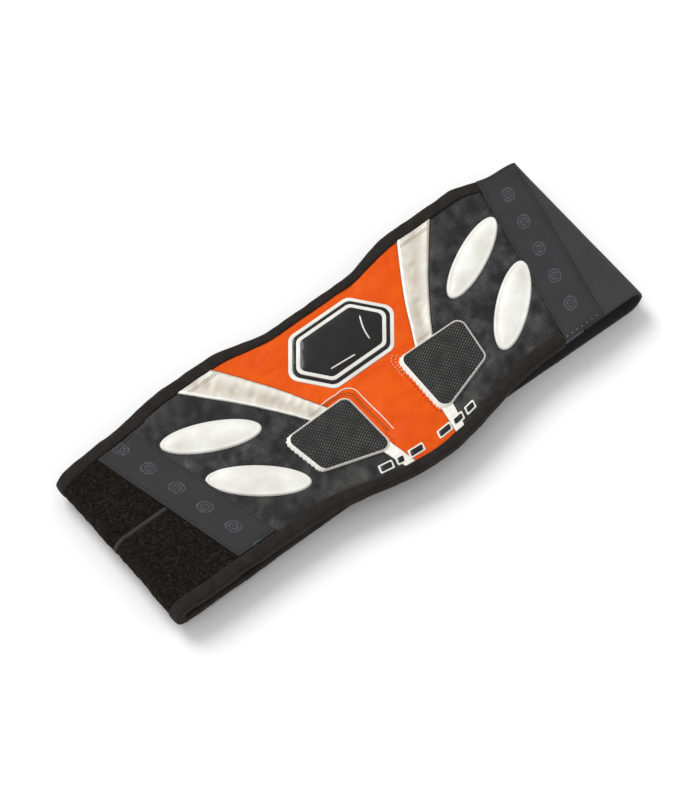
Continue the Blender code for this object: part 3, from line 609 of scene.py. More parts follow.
def vinyl(name, light, dark, roughness, grain, weave=1.3 * MM, crumple=0.18 * MM, rubbed=None, **sockets):
    """Coated fabric: a fine woven emboss, a leathery grain, slow changes of tone and patches of painted
    sheen.
    """
    look = Look(name, light, roughness, **sockets)
    tone = look.span(look.noise(38 * MM), 0.35, 0.68)
    fine = look.span(look.noise(2.2 * MM, 2.0), 0.3, 0.7)
    toned = look.blend(tone, dark, light)
    worn = tuple(min(1.0, c * 1.12 + 0.002) for c in light)
    painted = look.blend(look.times(fine, 0.45), toned, worn)
    emboss = look.times(look.sine(look.s, weave), look.sine(look.y, weave))
    # Patches of painted sheen: a paler colour in slow noise patches, strongest on the weave's raised points,
    # standing in for highlights.
    if rubbed:
        patch = look.span(look.noise(26 * MM, 4.0, 0.55), 0.46, 0.66)
        sheen_weave = look.math("MULTIPLY_ADD", look.times(emboss, fine), 1.5, 0.3)
        painted = look.blend(look.times(patch, sheen_weave), painted, rubbed)
    look.paint(painted)
    look.bump(emboss, grain)
    look.bump(look.noise(7.0 * MM, 4.0, 0.6), crumple, 0.6)
    look.rough(look.math("MULTIPLY_ADD", look.noise(9 * MM), 0.22, roughness - 0.1))


def woven(name, colour, lighter, roughness, pitch_s, pitch_y, depth, **sockets):
    """A narrow fabric with ribs one way and yarns the other."""
    look = Look(name, colour, roughness, **sockets)
    rib = look.sine(look.y, pitch_y)
    yarn = look.sine(look.s, pitch_s)
    cloth = look.math("MAXIMUM", look.times(rib, 0.9), look.times(yarn, 0.8))
    tone = look.span(look.noise(30 * MM, 4.0), 0.3, 0.7)
    fibre = look.noise(0.9 * MM, 2.0, stretch=(0.4, 1.0, 1.0))
    factor = look.math("MULTIPLY_ADD", look.times(cloth, fibre), 0.9, look.times(tone, 0.3))
    look.paint(look.blend(look.math("MINIMUM", factor, 1.0), colour, lighter))
    look.bump(cloth, depth)
    look.bump(fibre, depth * 0.8, 0.7)
    return look


def pile(name, colour, roughness, tint, specular, sheen, sheen_roughness):
    """A napped cloth with a little tinted sheen."""
    sockets = {"Specular_IOR_Level": specular, "Sheen_Weight": sheen, "Sheen_Roughness": sheen_roughness}
    return Look(name, colour, roughness, **sockets, Sheen_Tint=(*tint, 1.0))


def shell_looks():
    vinyl("orange_vinyl", (0.72, 0.092, 0.001), (0.64, 0.064, 0.001), 0.5, 0.04 * MM, Specular_IOR_Level=0.1)
    # The black vinyl's paler colour for its patches of painted sheen.
    deep = {"weave": 1.9 * MM, "crumple": 0.55 * MM, "rubbed": (0.075, 0.073, 0.07)}
    tones = ((0.0075, 0.0076, 0.0088), (0.0035, 0.0032, 0.0032))
    vinyl("black_vinyl", *tones, 0.3, 0.2 * MM, **deep, Specular_IOR_Level=0.24)
    vinyl("silver_edge", (0.82, 0.81, 0.76), (0.7, 0.68, 0.61), 0.35, 0.05 * MM, Metallic=0.05)

    look = Look("silver_vinyl", (0.66, 0.63, 0.55), 0.4, Metallic=0.1, Specular_IOR_Level=0.4)
    share = look.point_value("share", "Fac")
    # The ramp across each flash is partly a printed gradient and partly painted light: the near-white stripe
    # by the bright line is a painted highlight on the edge that faces the light.
    sheen = look.blend(look.span(share, 0.1, 0.34), (0.62, 0.59, 0.52), (0.5, 0.455, 0.37))
    sheen = look.blend(look.span(share, 0.5, 0.8), sheen, (0.68, 0.655, 0.58))
    sheen = look.blend(look.span(share, 0.9, 0.94), sheen, (0.42, 0.38, 0.3))
    sheen = look.blend(look.span(share, 0.06, 0.1, 1.0, 0.0), sheen, (0.9, 0.89, 0.85))
    cloud = look.span(look.noise(24 * MM), 0.35, 0.65, 0.0, 0.3)
    look.paint(look.blend(cloud, sheen, (0.74, 0.72, 0.66)))
    look.bump(look.times(look.sine(look.s, 1.2 * MM), look.sine(look.y, 1.2 * MM)), 0.03 * MM)
    look.bump(look.noise(9 * MM), 0.08 * MM, 0.6)

    look = Look("white_gel", (0.84, 0.84, 0.8), 0.38, Coat_Weight=0.15, Coat_Roughness=0.25)
    tone = look.span(look.noise(26 * MM), 0.3, 0.7)
    look.paint(look.blend(tone, (0.62, 0.62, 0.56), (0.8, 0.8, 0.76)))
    look.bump(look.noise(1.1 * MM, 2.0), 0.03 * MM)
    look.bump(look.noise(14 * MM), 0.35 * MM, 0.7)
    look.rough(look.span(look.noise(8 * MM), 0.3, 0.7, 0.3, 0.48))

    look = Look("vent_mesh", (0.012, 0.012, 0.013), 0.6, Specular_IOR_Level=0.3)
    one = look.sine(look.along(-61.0), 2.3 * MM)
    two = look.sine(look.along(36.0), 3.1 * MM)
    strand = look.times(look.span(one, 0.6, 0.95), look.span(two, 0.1, 0.32))
    patch = look.span(look.noise(16 * MM), 0.32, 0.66, 0.25, 1.0)
    look.paint(look.blend(look.times(strand, patch), (0.0035, 0.0034, 0.0033), (0.15, 0.15, 0.145)))
    look.bump(strand, 0.4 * MM)

    coat = {"Specular_IOR_Level": 0.25, "Coat_Weight": 0.12, "Coat_Roughness": 0.12}
    look = Look("black_gloss", (0.008, 0.008, 0.008), 0.25, **coat)
    look.paint(look.blend(look.noise(12 * MM), (0.005, 0.0045, 0.0045), (0.012, 0.011, 0.011)))
    look.bump(look.noise(6 * MM), 0.12 * MM, 0.6)
    look.bump(look.noise(0.8 * MM, 2.0), 0.01 * MM)


def tape_print(look):
    """Rows of plain faded eight-sided rings along each end tape: how strong the print is at a point."""
    shift = look.math("MULTIPLY_ADD", look.y, TAPE_SLOPE, TAPE_INNER_S - TAPE_LEVEL * TAPE_SLOPE)
    from_inner = look.math("SUBTRACT", look.math("ABSOLUTE", look.s), shift)
    across = look.math("SUBTRACT", from_inner, TAPE_WIDTH / 2)
    pitch = 30.5 * MM
    phase = look.math("MULTIPLY_ADD", look.math("GREATER_THAN", look.s, 0.0), -0.64, 0.66)
    turns = look.math("MULTIPLY_ADD", look.y, 1.0 / pitch, phase)
    row = look.times(look.math("SUBTRACT", look.math("FRACT", turns), 0.5), pitch)
    one = look.math("DIVIDE", look.math("ABSOLUTE", across), 7.2 * MM)
    two = look.math("DIVIDE", look.math("ABSOLUTE", row), 8.0 * MM)
    straight, cut = look.math("MAXIMUM", one, two), look.times(look.math("ADD", one, two), 0.68)
    reach = look.math("MAXIMUM", straight, cut)
    ring = look.span(look.sine(reach, 0.36, 0.9), 0.45, 0.6)
    left = look.math("LESS_THAN", look.s, 0.0)
    kept = look.math("GREATER_THAN", look.math("MULTIPLY_ADD", left, 0.1, look.y), -60.0 * MM)
    whole = look.times(look.times(look.span(reach, 0.96, 1.0, 1.0, 0.0), ring), kept)
    return look.times(whole, look.span(look.noise(3 * MM), 0.35, 0.65, 0.15, 0.6))


def cloth_looks():
    tones, yarns = ((0.024, 0.024, 0.0255), (0.044, 0.044, 0.046)), (0.85, 1.1 * MM, 0.8 * MM, 0.12 * MM)
    look = woven("printed_tape", *tones, *yarns, Specular_IOR_Level=0.25)
    base = look.shader.inputs["Base Color"].links[0].from_socket
    look.paint(look.blend(tape_print(look), base, (0.13, 0.13, 0.135)))
    tones, yarns = ((0.03, 0.03, 0.031), (0.056, 0.056, 0.058)), (0.85, 1.5 * MM, 1.0 * MM, 0.12 * MM)
    woven("elastic", *tones, *yarns, Specular_IOR_Level=0.2)

    look = pile("plush", (0.012, 0.01, 0.008), 0.95, (0.75, 0.6, 0.45), 0.05, 0.03, 0.6)
    loops, clumps = look.noise(1.5 * MM, 4.0, 0.8), look.noise(4.5 * MM, 4.0, 0.65)
    speck = look.times(look.span(loops, 0.44, 0.72), look.span(clumps, 0.32, 0.62, 0.15, 1.0))
    look.paint(look.blend(speck, (0.0026, 0.0021, 0.0018), (0.06, 0.046, 0.036)))
    look.bump(loops, 1.1 * MM)
    look.bump(clumps, 1.6 * MM, 0.6)

    look = pile("binding_fleece", (0.02, 0.017, 0.016), 0.9, (0.8, 0.7, 0.62), 0.1, 0.04, 0.5)
    nap, patches = look.noise(0.8 * MM, 4.0, 0.7), look.noise(11 * MM, 4.0, 0.6)
    speck = look.times(look.span(nap, 0.35, 0.75), look.span(patches, 0.3, 0.7, 0.35, 1.0))
    look.paint(look.blend(speck, (0.011, 0.0092, 0.0085), (0.052, 0.043, 0.038)))
    look.bump(nap, 0.45 * MM)
    look.bump(patches, 0.9 * MM, 0.6)


def thread_looks():
    colours = {
        "thread_dark": (0.02, 0.019, 0.0185),
        "thread_grey": (0.055, 0.049, 0.044),
        "thread_light": (0.78, 0.5, 0.32),
        "thread_tan": (0.3, 0.26, 0.2),
        "thread_rust": (0.26, 0.06, 0.012),
    }
    for name, colour in colours.items():
        look = Look(name, colour, 0.7, Specular_IOR_Level=0.3)
        ply = look.sine(look.along(35.0), 0.5 * MM)
        lighter = tuple(min(1.0, c * 1.5) for c in colour)
        look.paint(look.blend(look.times(ply, look.noise(2 * MM)), colour, lighter))
        look.bump(ply, 0.08 * MM)


def hidden_looks():
    look = Look("foam", (0.1, 0.1, 0.11), 0.95, Specular_IOR_Level=0.1)
    look.paint(look.blend(look.noise(3 * MM, 4.0), (0.05, 0.05, 0.055), (0.16, 0.16, 0.17)))
    look.bump(look.cells(1.2 * MM), 0.4 * MM)

    look = Look("lining", (0.03, 0.03, 0.032), 0.9, Specular_IOR_Level=0.2)
    hole = look.times(look.sine(look.along(60.0), 3.0 * MM), look.sine(look.along(-60.0), 3.0 * MM))
    cloth = look.blend(look.noise(20 * MM), (0.02, 0.02, 0.022), (0.045, 0.045, 0.048))
    look.paint(look.blend(look.span(hole, 0.5, 0.75), cloth, (0.006, 0.006, 0.0065)))
    look.bump(look.math("SUBTRACT", 1.0, hole), 0.5 * MM)

    look = Look("stay_plastic", (0.6, 0.6, 0.58), 0.45)
    look.paint(look.blend(look.noise(15 * MM), (0.5, 0.5, 0.48), (0.68, 0.68, 0.66)))
    look.bump(look.noise(0.8 * MM, 2.0), 0.04 * MM)

    look = Look("hook", (0.015, 0.015, 0.015), 0.7, Specular_IOR_Level=0.3)
    rows = look.times(look.sine(look.s, 1.6 * MM), look.sine(look.y, 1.9 * MM))
    look.paint(look.blend(look.span(rows, 0.35, 0.8), (0.006, 0.006, 0.006), (0.05, 0.05, 0.052)))
    look.bump(rows, 0.8 * MM)


shell_looks()
cloth_looks()
thread_looks()
hidden_looks()


# The panel's shapes.


def window_outline(side, distances, corner=8.0 * MM):
    corners = inset([(side * s * MM, y * MM) for s, y in WINDOW], distances)
    return rounded(corners, corner)


def flash_lines():
    """Inner and outer edge of the right flash, from the top edge down."""
    lines = []
    for points in (FLASH_INNER, FLASH_OUTER):
        curve = smooth([(s * MM, y * MM) for s, y in points])
        kept = [(s, y) for s, y in curve if y < top_edge(s) - EDGE_INSET]
        lines.append([(curve[0][0], top_edge(curve[0][0]) - EDGE_INSET)] + kept)
    return lines


INNER_LINE, OUTER_LINE = flash_lines()


def cover_arcs():
    """The four turned corners of the right vent's cut, each from the side before it to the side after it."""
    outline = window_outline(1, 0.2 * MM)
    return [outline[i : i + 9] for i in range(0, 36, 9)]


ARCS = cover_arcs()


def to_vent(line):
    """The line carried on straight to the vent's upper side."""
    (s0, y0), (s1, y1) = line[-5], line[-1]
    (a0, b0), (a1, b1) = ARCS[0][-1], ARCS[1][0]
    slope, lean = (s1 - s0) / (y1 - y0), (b1 - b0) / (a1 - a0)
    s = (s1 + slope * (b0 - lean * a0 - y1)) / (1 - slope * lean)
    return line + [(s, b0 + lean * (s - a0))]


INNER_LINE, OUTER_LINE = to_vent(INNER_LINE), to_vent(OUTER_LINE)
FLASH_FOOT = INNER_LINE[-1][1]


def tail_edges(y):
    inner = PANEL_SPLIT_S + GAP / 2 - (TAIL_TOP_Y - y) / (TAIL_TOP_Y - BOTTOM_MIDDLE) * TAIL_LEAN
    return inner, inner + TAIL_WIDTH


def mirrored(points, side):
    return [(side * s, y) for s, y in points]


def oval_outline(side, level, grow=0.0):
    centre, halves, slant = OVALS[side, level]
    middle = (side * centre[0] * MM, centre[1] * MM)
    return ellipse(middle, [half * MM + grow for half in halves], side * slant)


def badge_outline(distance, corner):
    half_s, half_y = BADGE_SIZE[0] / 2, BADGE_SIZE[1] / 2
    outline = [(BADGE_CENTRE[0] + u * half_s, BADGE_CENTRE[1] + v * half_y) for u, v in BADGE_CORNERS]
    return rounded(inset(outline, distance), corner)


def panel_outline(end_gap=0.0, edge_inset=EDGE_INSET, across=0.5):
    left_top, left_bottom = (slant_crossing(-1, across, edge) for edge in (top_edge, bottom_edge))
    right_top, right_bottom = (slant_crossing(1, across, edge) for edge in (top_edge, bottom_edge))
    upper = along(top_edge, left_top + end_gap, right_top - end_gap, -edge_inset)
    lower = along(bottom_edge, right_bottom - end_gap, left_bottom + end_gap, edge_inset)
    return upper + lower


# How far the panel's cover stands up from flat between its seams.

SWELL_CELL = 4.0 * MM
SWELL_LOW, SWELL_HIGH = np.array([-248.0 * MM, -104.0 * MM]), np.array([248.0 * MM, 124.0 * MM])
SWELL_MOST = 2.6 * MM
SEAM_HOLD = 2.2 * MM
CLOTH_FRAMES = 20


def seam_lines():
    lines = []
    for side in (-1, 1):
        lines += [mirrored(INNER_LINE, side), mirrored(OUTER_LINE, side)]
        low = bottom_edge(PANEL_SPLIT_S) + EDGE_INSET
        for k in (0, 1):
            lines.append(mirrored([(tail_edges(TAIL_TOP_Y)[k], TAIL_TOP_Y), (tail_edges(low)[k], low)], side))
    return lines


def held_places(points):
    """Which points of the cover are held down: seams, vents, ovals, the badge and all round the panel."""
    held = distance_to(points, seam_lines(), closed=False) < SEAM_HOLD
    upper = np.array([top_edge(s) - binding_width(s) for s in points[:, 0]])
    lower = np.array([bottom_edge(s) + binding_width(s) for s in points[:, 0]])
    held |= (points[:, 1] > upper - 1 * MM) | (points[:, 1] < lower + 1 * MM)
    ends = TAPE_INNER_S + 2 * MM + (points[:, 1] - TAPE_LEVEL) * TAPE_SLOPE
    held |= np.abs(points[:, 0]) > ends
    for side in (-1, 1):
        held |= inside(points, [window_outline(side, -5.5 * MM)])
        for level in ("upper", "lower"):
            held |= inside(points, [oval_outline(side, level, 1.5 * MM)])
    return held | inside(points, [badge_outline(-1 * MM, 9 * MM)])


def swell_grid():
    count = np.round((SWELL_HIGH - SWELL_LOW) / SWELL_CELL).astype(int) + 1
    s = SWELL_LOW[0] + np.arange(count[0]) * SWELL_CELL
    y = SWELL_LOW[1] + np.arange(count[1]) * SWELL_CELL
    points = np.stack(np.meshgrid(s, y, indexing="ij"), -1).reshape(-1, 2)
    held = held_places(points)
    verts = [(a, b, 0.0) for a, b in points]
    faces = []
    for i in range(count[0] - 1):
        for k in range(count[1] - 1):
            a = i * count[1] + k
            faces.append((a, a + count[1], a + count[1] + 1, a + 1))
    mesh = bpy.data.meshes.new("cover_cloth")
    mesh.from_pydata(verts, [], faces)
    obj = bpy.data.objects.new("cover_cloth", mesh)
    bpy.context.scene.collection.objects.link(obj)
    group = obj.vertex_groups.new(name="held")
    group.add(np.flatnonzero(held).tolist(), 1.0, "REPLACE")
    cloth = obj.modifiers.new("cloth", "CLOTH")
    settings = cloth.settings
    settings.quality = 8
    settings.mass = 0.15
    settings.tension_stiffness = 22
    settings.compression_stiffness = 22
    settings.shear_stiffness = 8
    settings.bending_stiffness = 0.4
    settings.air_damping = 3.0
    settings.use_pressure = True
    settings.uniform_pressure_force = 4.0
    settings.vertex_group_mass = "held"
    settings.shrink_min = -0.012
    settings.effector_weights.gravity = 0.0
    scene = bpy.context.scene
    for number in range(1, CLOTH_FRAMES + 1):
        scene.frame_set(number)
    graph = bpy.context.evaluated_depsgraph_get()
    moved = obj.evaluated_get(graph).to_mesh()
    co = np.empty(len(points) * 3, np.float32)
    moved.vertices.foreach_get("co", co)
    height = co.reshape(-1, 3)[:, 2].astype(float)
    scene.frame_set(1)
    bpy.data.objects.remove(obj)
    bpy.data.meshes.remove(mesh)
    if abs(height.min()) > height.max():
        height = -height
    height = np.clip(height, -0.4 * MM, None)
    height = SWELL_MOST * np.tanh(height / SWELL_MOST)
    return height.reshape(count), count


SWELL, SWELL_COUNT = swell_grid()


def swell(s, y):
    """The cover's height at flat points."""
    u = np.clip((s - SWELL_LOW[0]) / SWELL_CELL, 0, SWELL_COUNT[0] - 1.001)
    v = np.clip((y - SWELL_LOW[1]) / SWELL_CELL, 0, SWELL_COUNT[1] - 1.001)
    i, k = np.floor(u).astype(int), np.floor(v).astype(int)
    a, b = u - i, v - k
    low = SWELL[i, k] * (1 - a) + SWELL[i + 1, k] * a
    high = SWELL[i, k + 1] * (1 - a) + SWELL[i + 1, k + 1] * a
    return low * (1 - b) + high * b


def cover_n(s, y):
    """The outer face of the panel's cover."""
    return -swell(s, y)


# The panel's pieces. They all ride on the back panel.


def finish_piece(obj, body, nodes):
    if body:
        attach(obj, body)
    if nodes:
        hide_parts(*nodes)


def cover_piece(name, outlines, cell, edge, lift, look, slot, raise_edge=0.0, share=None):
    """One cut of the cover: rounded at its seams and blown up between them."""

    def top(s, y, d):
        rim = raise_edge * np.exp(-(((d - 1.3 * MM) / (0.9 * MM)) ** 2))
        return cover_n(s, y) - lift - rim + round_edge(d, edge)

    rims = (0.3 * edge, 0.75 * edge, 1.5 * edge)
    obj = slab(name, outlines, cell, rims, top, SHELL, look, 50.0, share)
    finish_piece(obj, "back_panel", [name])


def build_cover():
    tail_low = tail_edges(bottom_edge(PANEL_SPLIT_S) + EDGE_INSET)
    ends = [bottom_edge(s) + EDGE_INSET for s in tail_low]
    right = [(s - GAP / 2, y) for s, y in INNER_LINE] + ARCS[0][::-1]
    right += [(ARCS[3][-1][0] - GAP, ARCS[3][-1][1]), (tail_low[0] - GAP, ends[0])]
    low = along(bottom_edge, tail_low[0] - GAP, -tail_low[0] + GAP, EDGE_INSET)[1:-1]
    left = [(-s, y) for s, y in right[::-1]]
    high = along(top_edge, left[-1][0], right[0][0], -EDGE_INSET)[1:-1]
    plain = (3.0 * MM, 0.9 * MM, 0.0)
    cover_piece("centre_panel", [right + low + left + high], *plain, "orange_vinyl", "orange_vinyl")

    for side, word in SIDES:
        flash = [(s + GAP / 2, y) for s, y in INNER_LINE] + [(s - GAP / 2, y) for s, y in OUTER_LINE[::-1]]
        flash += along(top_edge, OUTER_LINE[0][0] - GAP / 2, INNER_LINE[0][0] + GAP / 2, -EDGE_INSET)[1:-1]
        # The flash's painted highlight runs along the bright line; share goes from it to the dark line.
        bright, dark = (INNER_LINE, OUTER_LINE) if side > 0 else (OUTER_LINE, INNER_LINE)

        def share(points):
            near, far = (distance_to(points, [mirrored(line, side)], closed=False) for line in (bright, dark))
            return near / (near + far)

        proud, looks = (2.2 * MM, 1.0 * MM, 0.7 * MM), ("silver_vinyl", "silver_vinyl")
        cover_piece(f"silver_flash_{word}", [mirrored(flash, side)], *proud, *looks, 0.35 * MM, share)
        tail = ARCS[3][::-1] + [(tail_low[1], ends[1]), (tail_low[0], ends[0])]
        proud, looks = (2.0 * MM, 0.8 * MM, 0.6 * MM), ("silver_edge", "silver_vinyl")
        cover_piece(f"silver_tail_{word}", [mirrored(tail, side)], *proud, *looks)

        end_top, end_bottom = [abs(slant_crossing(side, 0.5, edge)) - GAP for edge in (top_edge, bottom_edge)]
        panel = [(s + GAP / 2, y) for s, y in OUTER_LINE[::-1]]
        panel += along(lambda s: top_edge(side * s), OUTER_LINE[0][0] + GAP / 2, end_top, -EDGE_INSET)[1:]
        panel += along(lambda s: bottom_edge(side * s), end_bottom, tail_low[1] + GAP, EDGE_INSET)
        panel += [(ARCS[3][0][0] + GAP, ARCS[3][0][1])] + ARCS[2][::-1] + ARCS[1][::-1]
        cover_piece(f"side_panel_{word}", [mirrored(panel, side)], *plain, "black_vinyl", "black_vinyl")


def rim_distances(side):
    """How far the frame reaches out from the vent on its four sides: top, outer, bottom, inner."""
    if side > 0:
        return [-1.3 * MM, -1.1 * MM, -0.7 * MM, -3.4 * MM]
    return [-1.3 * MM, -2.9 * MM, -0.7 * MM, -1.3 * MM]


def on_black(side, point):
    """Whether a stitch beside a vent is off the flash and, by the left vent, off the orange cut too."""
    reach, y = abs(point[0]), point[1]
    return reach > 72 * MM or y < -45 * MM or (side > 0 and y < -4 * MM)


def build_vents():
    """Raised mesh vents in a thin silver frame, with a broad sloping silver wall on one side."""
    for side, word in SIDES:
        mesh_line = window_outline(side, 0.5 * MM, 7.5 * MM)

        def mesh_top(s, y, d):
            dome = 0.9 * MM * (1 - np.exp(-d / (7 * MM)))
            return -1.2 * MM - dome + 0.18 * MM * waves(s, y, 6 * MM)

        obj = slab(f"vent_mesh_{word}", [mesh_line], 1.8 * MM, (0.7 * MM,), mesh_top, SHELL, "vent_mesh")
        finish_piece(obj, "back_panel", [f"vent_mesh_{word}"])

        inner = window_outline(side, 0.9 * MM, 7.2 * MM)
        outer = densify(window_outline(side, rim_distances(side), 8.5 * MM), 1.0 * MM)
        reach = distance_to(np.array(outer), [inner])
        scallop = 0.5 * MM * np.clip(reach / MM - 2.4, 0, 1)
        ahead = np.roll(outer, -1, 0) - np.roll(outer, 1, 0)
        normal = np.stack([-ahead[:, 1], ahead[:, 0]], -1) / np.linalg.norm(ahead, axis=1)[:, None]
        shift = (scallop * np.sin(np.arange(len(outer)) * 1.3))[:, None] * normal
        outer = [tuple(p) for p in np.array(outer) + shift]

        def rim_top(s, y, d):
            from_outer = distance_to(np.stack([s, y], -1), [outer])
            from_inner = distance_to(np.stack([s, y], -1), [inner])
            share = from_outer / np.maximum(from_outer + from_inner, 1e-9)
            crest = -2.3 * MM - 0.35 * MM * np.clip(1 - from_inner / (1.2 * MM), 0, 1)
            slope = mix(0.1 * MM, crest, np.clip(share * 1.25, 0, 1) ** 0.7)
            return np.where(share > 0.999, -1.6 * MM, slope)

        fine = (1.3 * MM, (0.35 * MM, 0.8 * MM))
        obj = slab(f"vent_rim_{word}", [outer, inner], *fine, rim_top, 0.5 * MM, "silver_edge", 70.0)
        finish_piece(obj, "back_panel", [f"vent_rim_{word}"])

        facing = window_outline(side, [d - 2.0 * MM for d in rim_distances(side)], 9 * MM)
        rows = stitch_paths(facing + facing[:1], lambda s, y: cover_n(s, y) - 0.1 * MM, 2.4 * MM, 3.8 * MM)
        rows = [row for row in rows if on_black(side, row[2])]
        obj = threads(f"vent_stitches_{word}", rows, 0.3 * MM, "thread_dark")
        finish_piece(obj, "back_panel", [])


def round_vent(side, above, beside, radius, down):
    """A line outside a vent: along its upper side, round the inner corner and part of the way down."""
    corners = [(side * s * MM, y * MM) for s, y in WINDOW]
    outline = rounded(inset(corners, [-above, 0.0, 0.0, -beside]), radius)
    start = (side * 53.0 * MM, mix(outline[8][1], outline[9][1], 0.25))
    return [start] + outline[8::-1] + [tuple(mix(np.array(outline[0]), np.array(outline[-1]), down))]


def build_window_lines():
    """A thin cream welt with two seams inside it, and pale stitches at the other vent's corner."""
    lines = (
        ("vent_welt", 7.0, 11.0, 0.5, "silver_edge"),
        ("vent_seam_1", 3.4, 5.0, 0.28, "thread_rust"),
        ("vent_seam_2", 4.8, 6.8, 0.28, "thread_rust"),
    )
    for name, above, beside, radius, look in lines:
        path = resample(round_vent(-1, above * MM, beside * MM, 11 * MM, 0.95), 1.6 * MM)
        path = np.column_stack([path, cover_n(path[:, 0], path[:, 1]) - radius * 0.5 * MM])
        obj = threads(name, [path], radius * MM, look, 8)
        finish_piece(obj, "back_panel", [])
    rows = []
    for distance in (4.4 * MM, 7.2 * MM):
        line = round_vent(1, distance, distance + 0.5 * MM, 9 * MM, 0.25)
        rows += stitch_paths(line[3:], lambda s, y: cover_n(s, y) - 0.1 * MM, 1.6 * MM, 3.2 * MM)
    obj = threads("vent_seam_right", rows, 0.5 * MM, "thread_light", 6)
    finish_piece(obj, "back_panel", [])


def build_flash_seams():
    """Double seams across each flash, just inside the belt's edge and just above the vent."""
    for side, word in SIDES:
        lines, tubes = [], []
        for drop in (5.2 * MM, 7.0 * MM):
            stops = np.linspace(100.0 * MM, 140.0 * MM, 60)
            lines.append([(s, top_edge(s) - binding_width(s) - drop) for s in stops])
        for rise in (3.2 * MM, 5.0 * MM):
            lines.append([(s, FLASH_FOOT + rise) for s in np.linspace(50.0 * MM, 80.0 * MM, 60)])
        for line in lines:
            path = resample(mirrored([p for p in line if inside_flash(p)], side), 2.0 * MM)
            n = cover_n(path[:, 0], path[:, 1]) - 0.72 * MM
            tubes.append(np.column_stack([path, n]))
        obj = threads(f"flash_seams_{word}", tubes, 0.28 * MM, "thread_tan")
        finish_piece(obj, "back_panel", [])


def inside_flash(point):
    inner = np.interp(-point[1], [-y for _, y in INNER_LINE], [s for s, _ in INNER_LINE])
    outer = np.interp(-point[1], [-y for _, y in OUTER_LINE], [s for s, _ in OUTER_LINE])
    return inner + 1.2 * MM < point[0] < outer - 1.2 * MM


def oval_top(s, y, d):
    welt = 0.75 * MM * np.exp(-(((d - 1.6 * MM) / (1.1 * MM)) ** 2))
    dome = 2.0 * MM * (1 - np.exp(-np.maximum(d - 2.2 * MM, 0) / (5.5 * MM)))
    return -0.4 * MM - welt - dome - 1.0 * MM + round_edge(d, 1.3 * MM)


def build_ovals():
    rims = (0.25 * MM, 0.7 * MM, 1.5 * MM, 2.6 * MM, 4.0 * MM)
    for side, word in SIDES:
        for level in ("upper", "lower"):
            name, outline = f"oval_pad_{level}_{word}", oval_outline(side, level)
            obj = slab(name, [outline], 2.2 * MM, rims, oval_top, -0.2 * MM, "white_gel")
            finish_piece(obj, "back_panel", [name])


def build_badge():
    """A plain six-sided badge: white, black and white outlines in steps, and a domed black face with two
    white slivers of painted highlight on it.
    """
    layers = (
        ("badge_base", 0.0, 10.5, 1.0, "white_gel", ["badge_base"]),
        ("badge_band", 3.6, 9.0, 1.7, "black_gloss", []),
        ("badge_ring", 7.0, 7.5, 2.3, "white_gel", ["badge_ring"]),
        ("badge_face", 10.6, 6.0, 2.9, "black_gloss", ["badge_face"]),
    )
    for name, distance, corner, height, look, nodes in layers:
        outline = badge_outline(distance * MM, corner * MM)
        crown = 0.9 * MM if name == "badge_face" else 0.0

        def top(s, y, d, height=height, crown=crown):
            return -height * MM - crown * (1 - np.exp(-d / (8 * MM))) + round_edge(d, 0.5 * MM)

        obj = slab(name, [outline], 3.0 * MM, (0.2 * MM, 0.5 * MM), top, 0.1 * MM, look)
        finish_piece(obj, "back_panel", nodes)
    # Two white slivers on the face are painted highlights, standing in for the gloss's reflections.
    painted_highlights = []
    for start, end, bow in (((30, 60), (22, 36), -1.4), ((-24, 33.5), (2, 31.5), 0.8)):
        t = np.linspace(0, 1, 15)
        s = mix(start[0], end[0], t) * MM + bow * MM * np.sin(math.pi * t)
        y = mix(start[1], end[1], t) * MM
        painted_highlights.append(np.column_stack([s, y, np.full(15, -3.75 * MM)]))
    obj = threads("badge_painted_highlights", painted_highlights, 0.75 * MM, "white_gel", 8)
    finish_piece(obj, "back_panel", [])


def label_y(s):
    return LABEL_Y - LABEL_SAG * math.cos(math.pi * s / LABEL_WAVE)


def build_label():
    """A row of plain bars along the lower edge, each black in a white outline."""
    bars = [(-54, -40), (-37, -28), (-24, -8), (8, 24), (26, 39), (42, 54)]
    layers = (("outline", "white_gel", 0.0, 0.9), ("label", "black_gloss", 1.5, 1.3))
    for word, look, margin, height in layers:

        def top(s, y, d):
            return cover_n(s, y) * 0.4 - height * MM + round_edge(d, 0.45 * MM)

        parts = []
        for start, end in bars:
            ends = (start + margin, end - margin)
            half = 0.42 * LABEL_WIDTH - margin * MM
            high = [((x + 1.2) * MM, label_y(x * MM) + half) for x in ends]
            low = [((x - 1.2) * MM, label_y(x * MM) - half) for x in ends[::-1]]
            line = rounded(high + low, 1.2 * MM, 4)
            parts.append(layer([line], 2.2 * MM, (0.2 * MM, 0.45 * MM), top, 0.2 * MM))
        obj = new_object(f"lower_{word}", *joined(parts), look)
        finish_piece(obj, "back_panel", ["lower_label"] if word == "label" else [])


# Pieces over the folds, baked where they lie.


def hang(obj, stops, n, nodes):
    """Bakes a piece where it lies and hides those nodes; the ends worked out from stops and n are not used,
    and it rides on no body.
    """
    start, end = (tuple(map(float, place(s, 0.0, n))) for s in stops)
    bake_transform(obj)
    finish_piece(obj, None, nodes)


def blend_fold(obj, side, half, n, nodes):
    """Gives hang() a piece with the stops at the two ends of half a fold and that depth."""
    turns = ((8, 82), (98, 172))[half]
    hang(obj, [turned_s(side, math.radians(a)) for a in turns], n, nodes)


# End tapes.


def tape_n(s, y):
    return as_array(-1.7 * MM, s) - 0.25 * MM * waves(s, y, 17 * MM, 2.0)


def over_binding(y):
    """How much more the right tape stands up where it crosses the ends of the bindings."""
    return 1.2 * MM * ease(-y, 58 * MM, 66 * MM) + 1.2 * MM * ease(y, 84 * MM, 92 * MM)


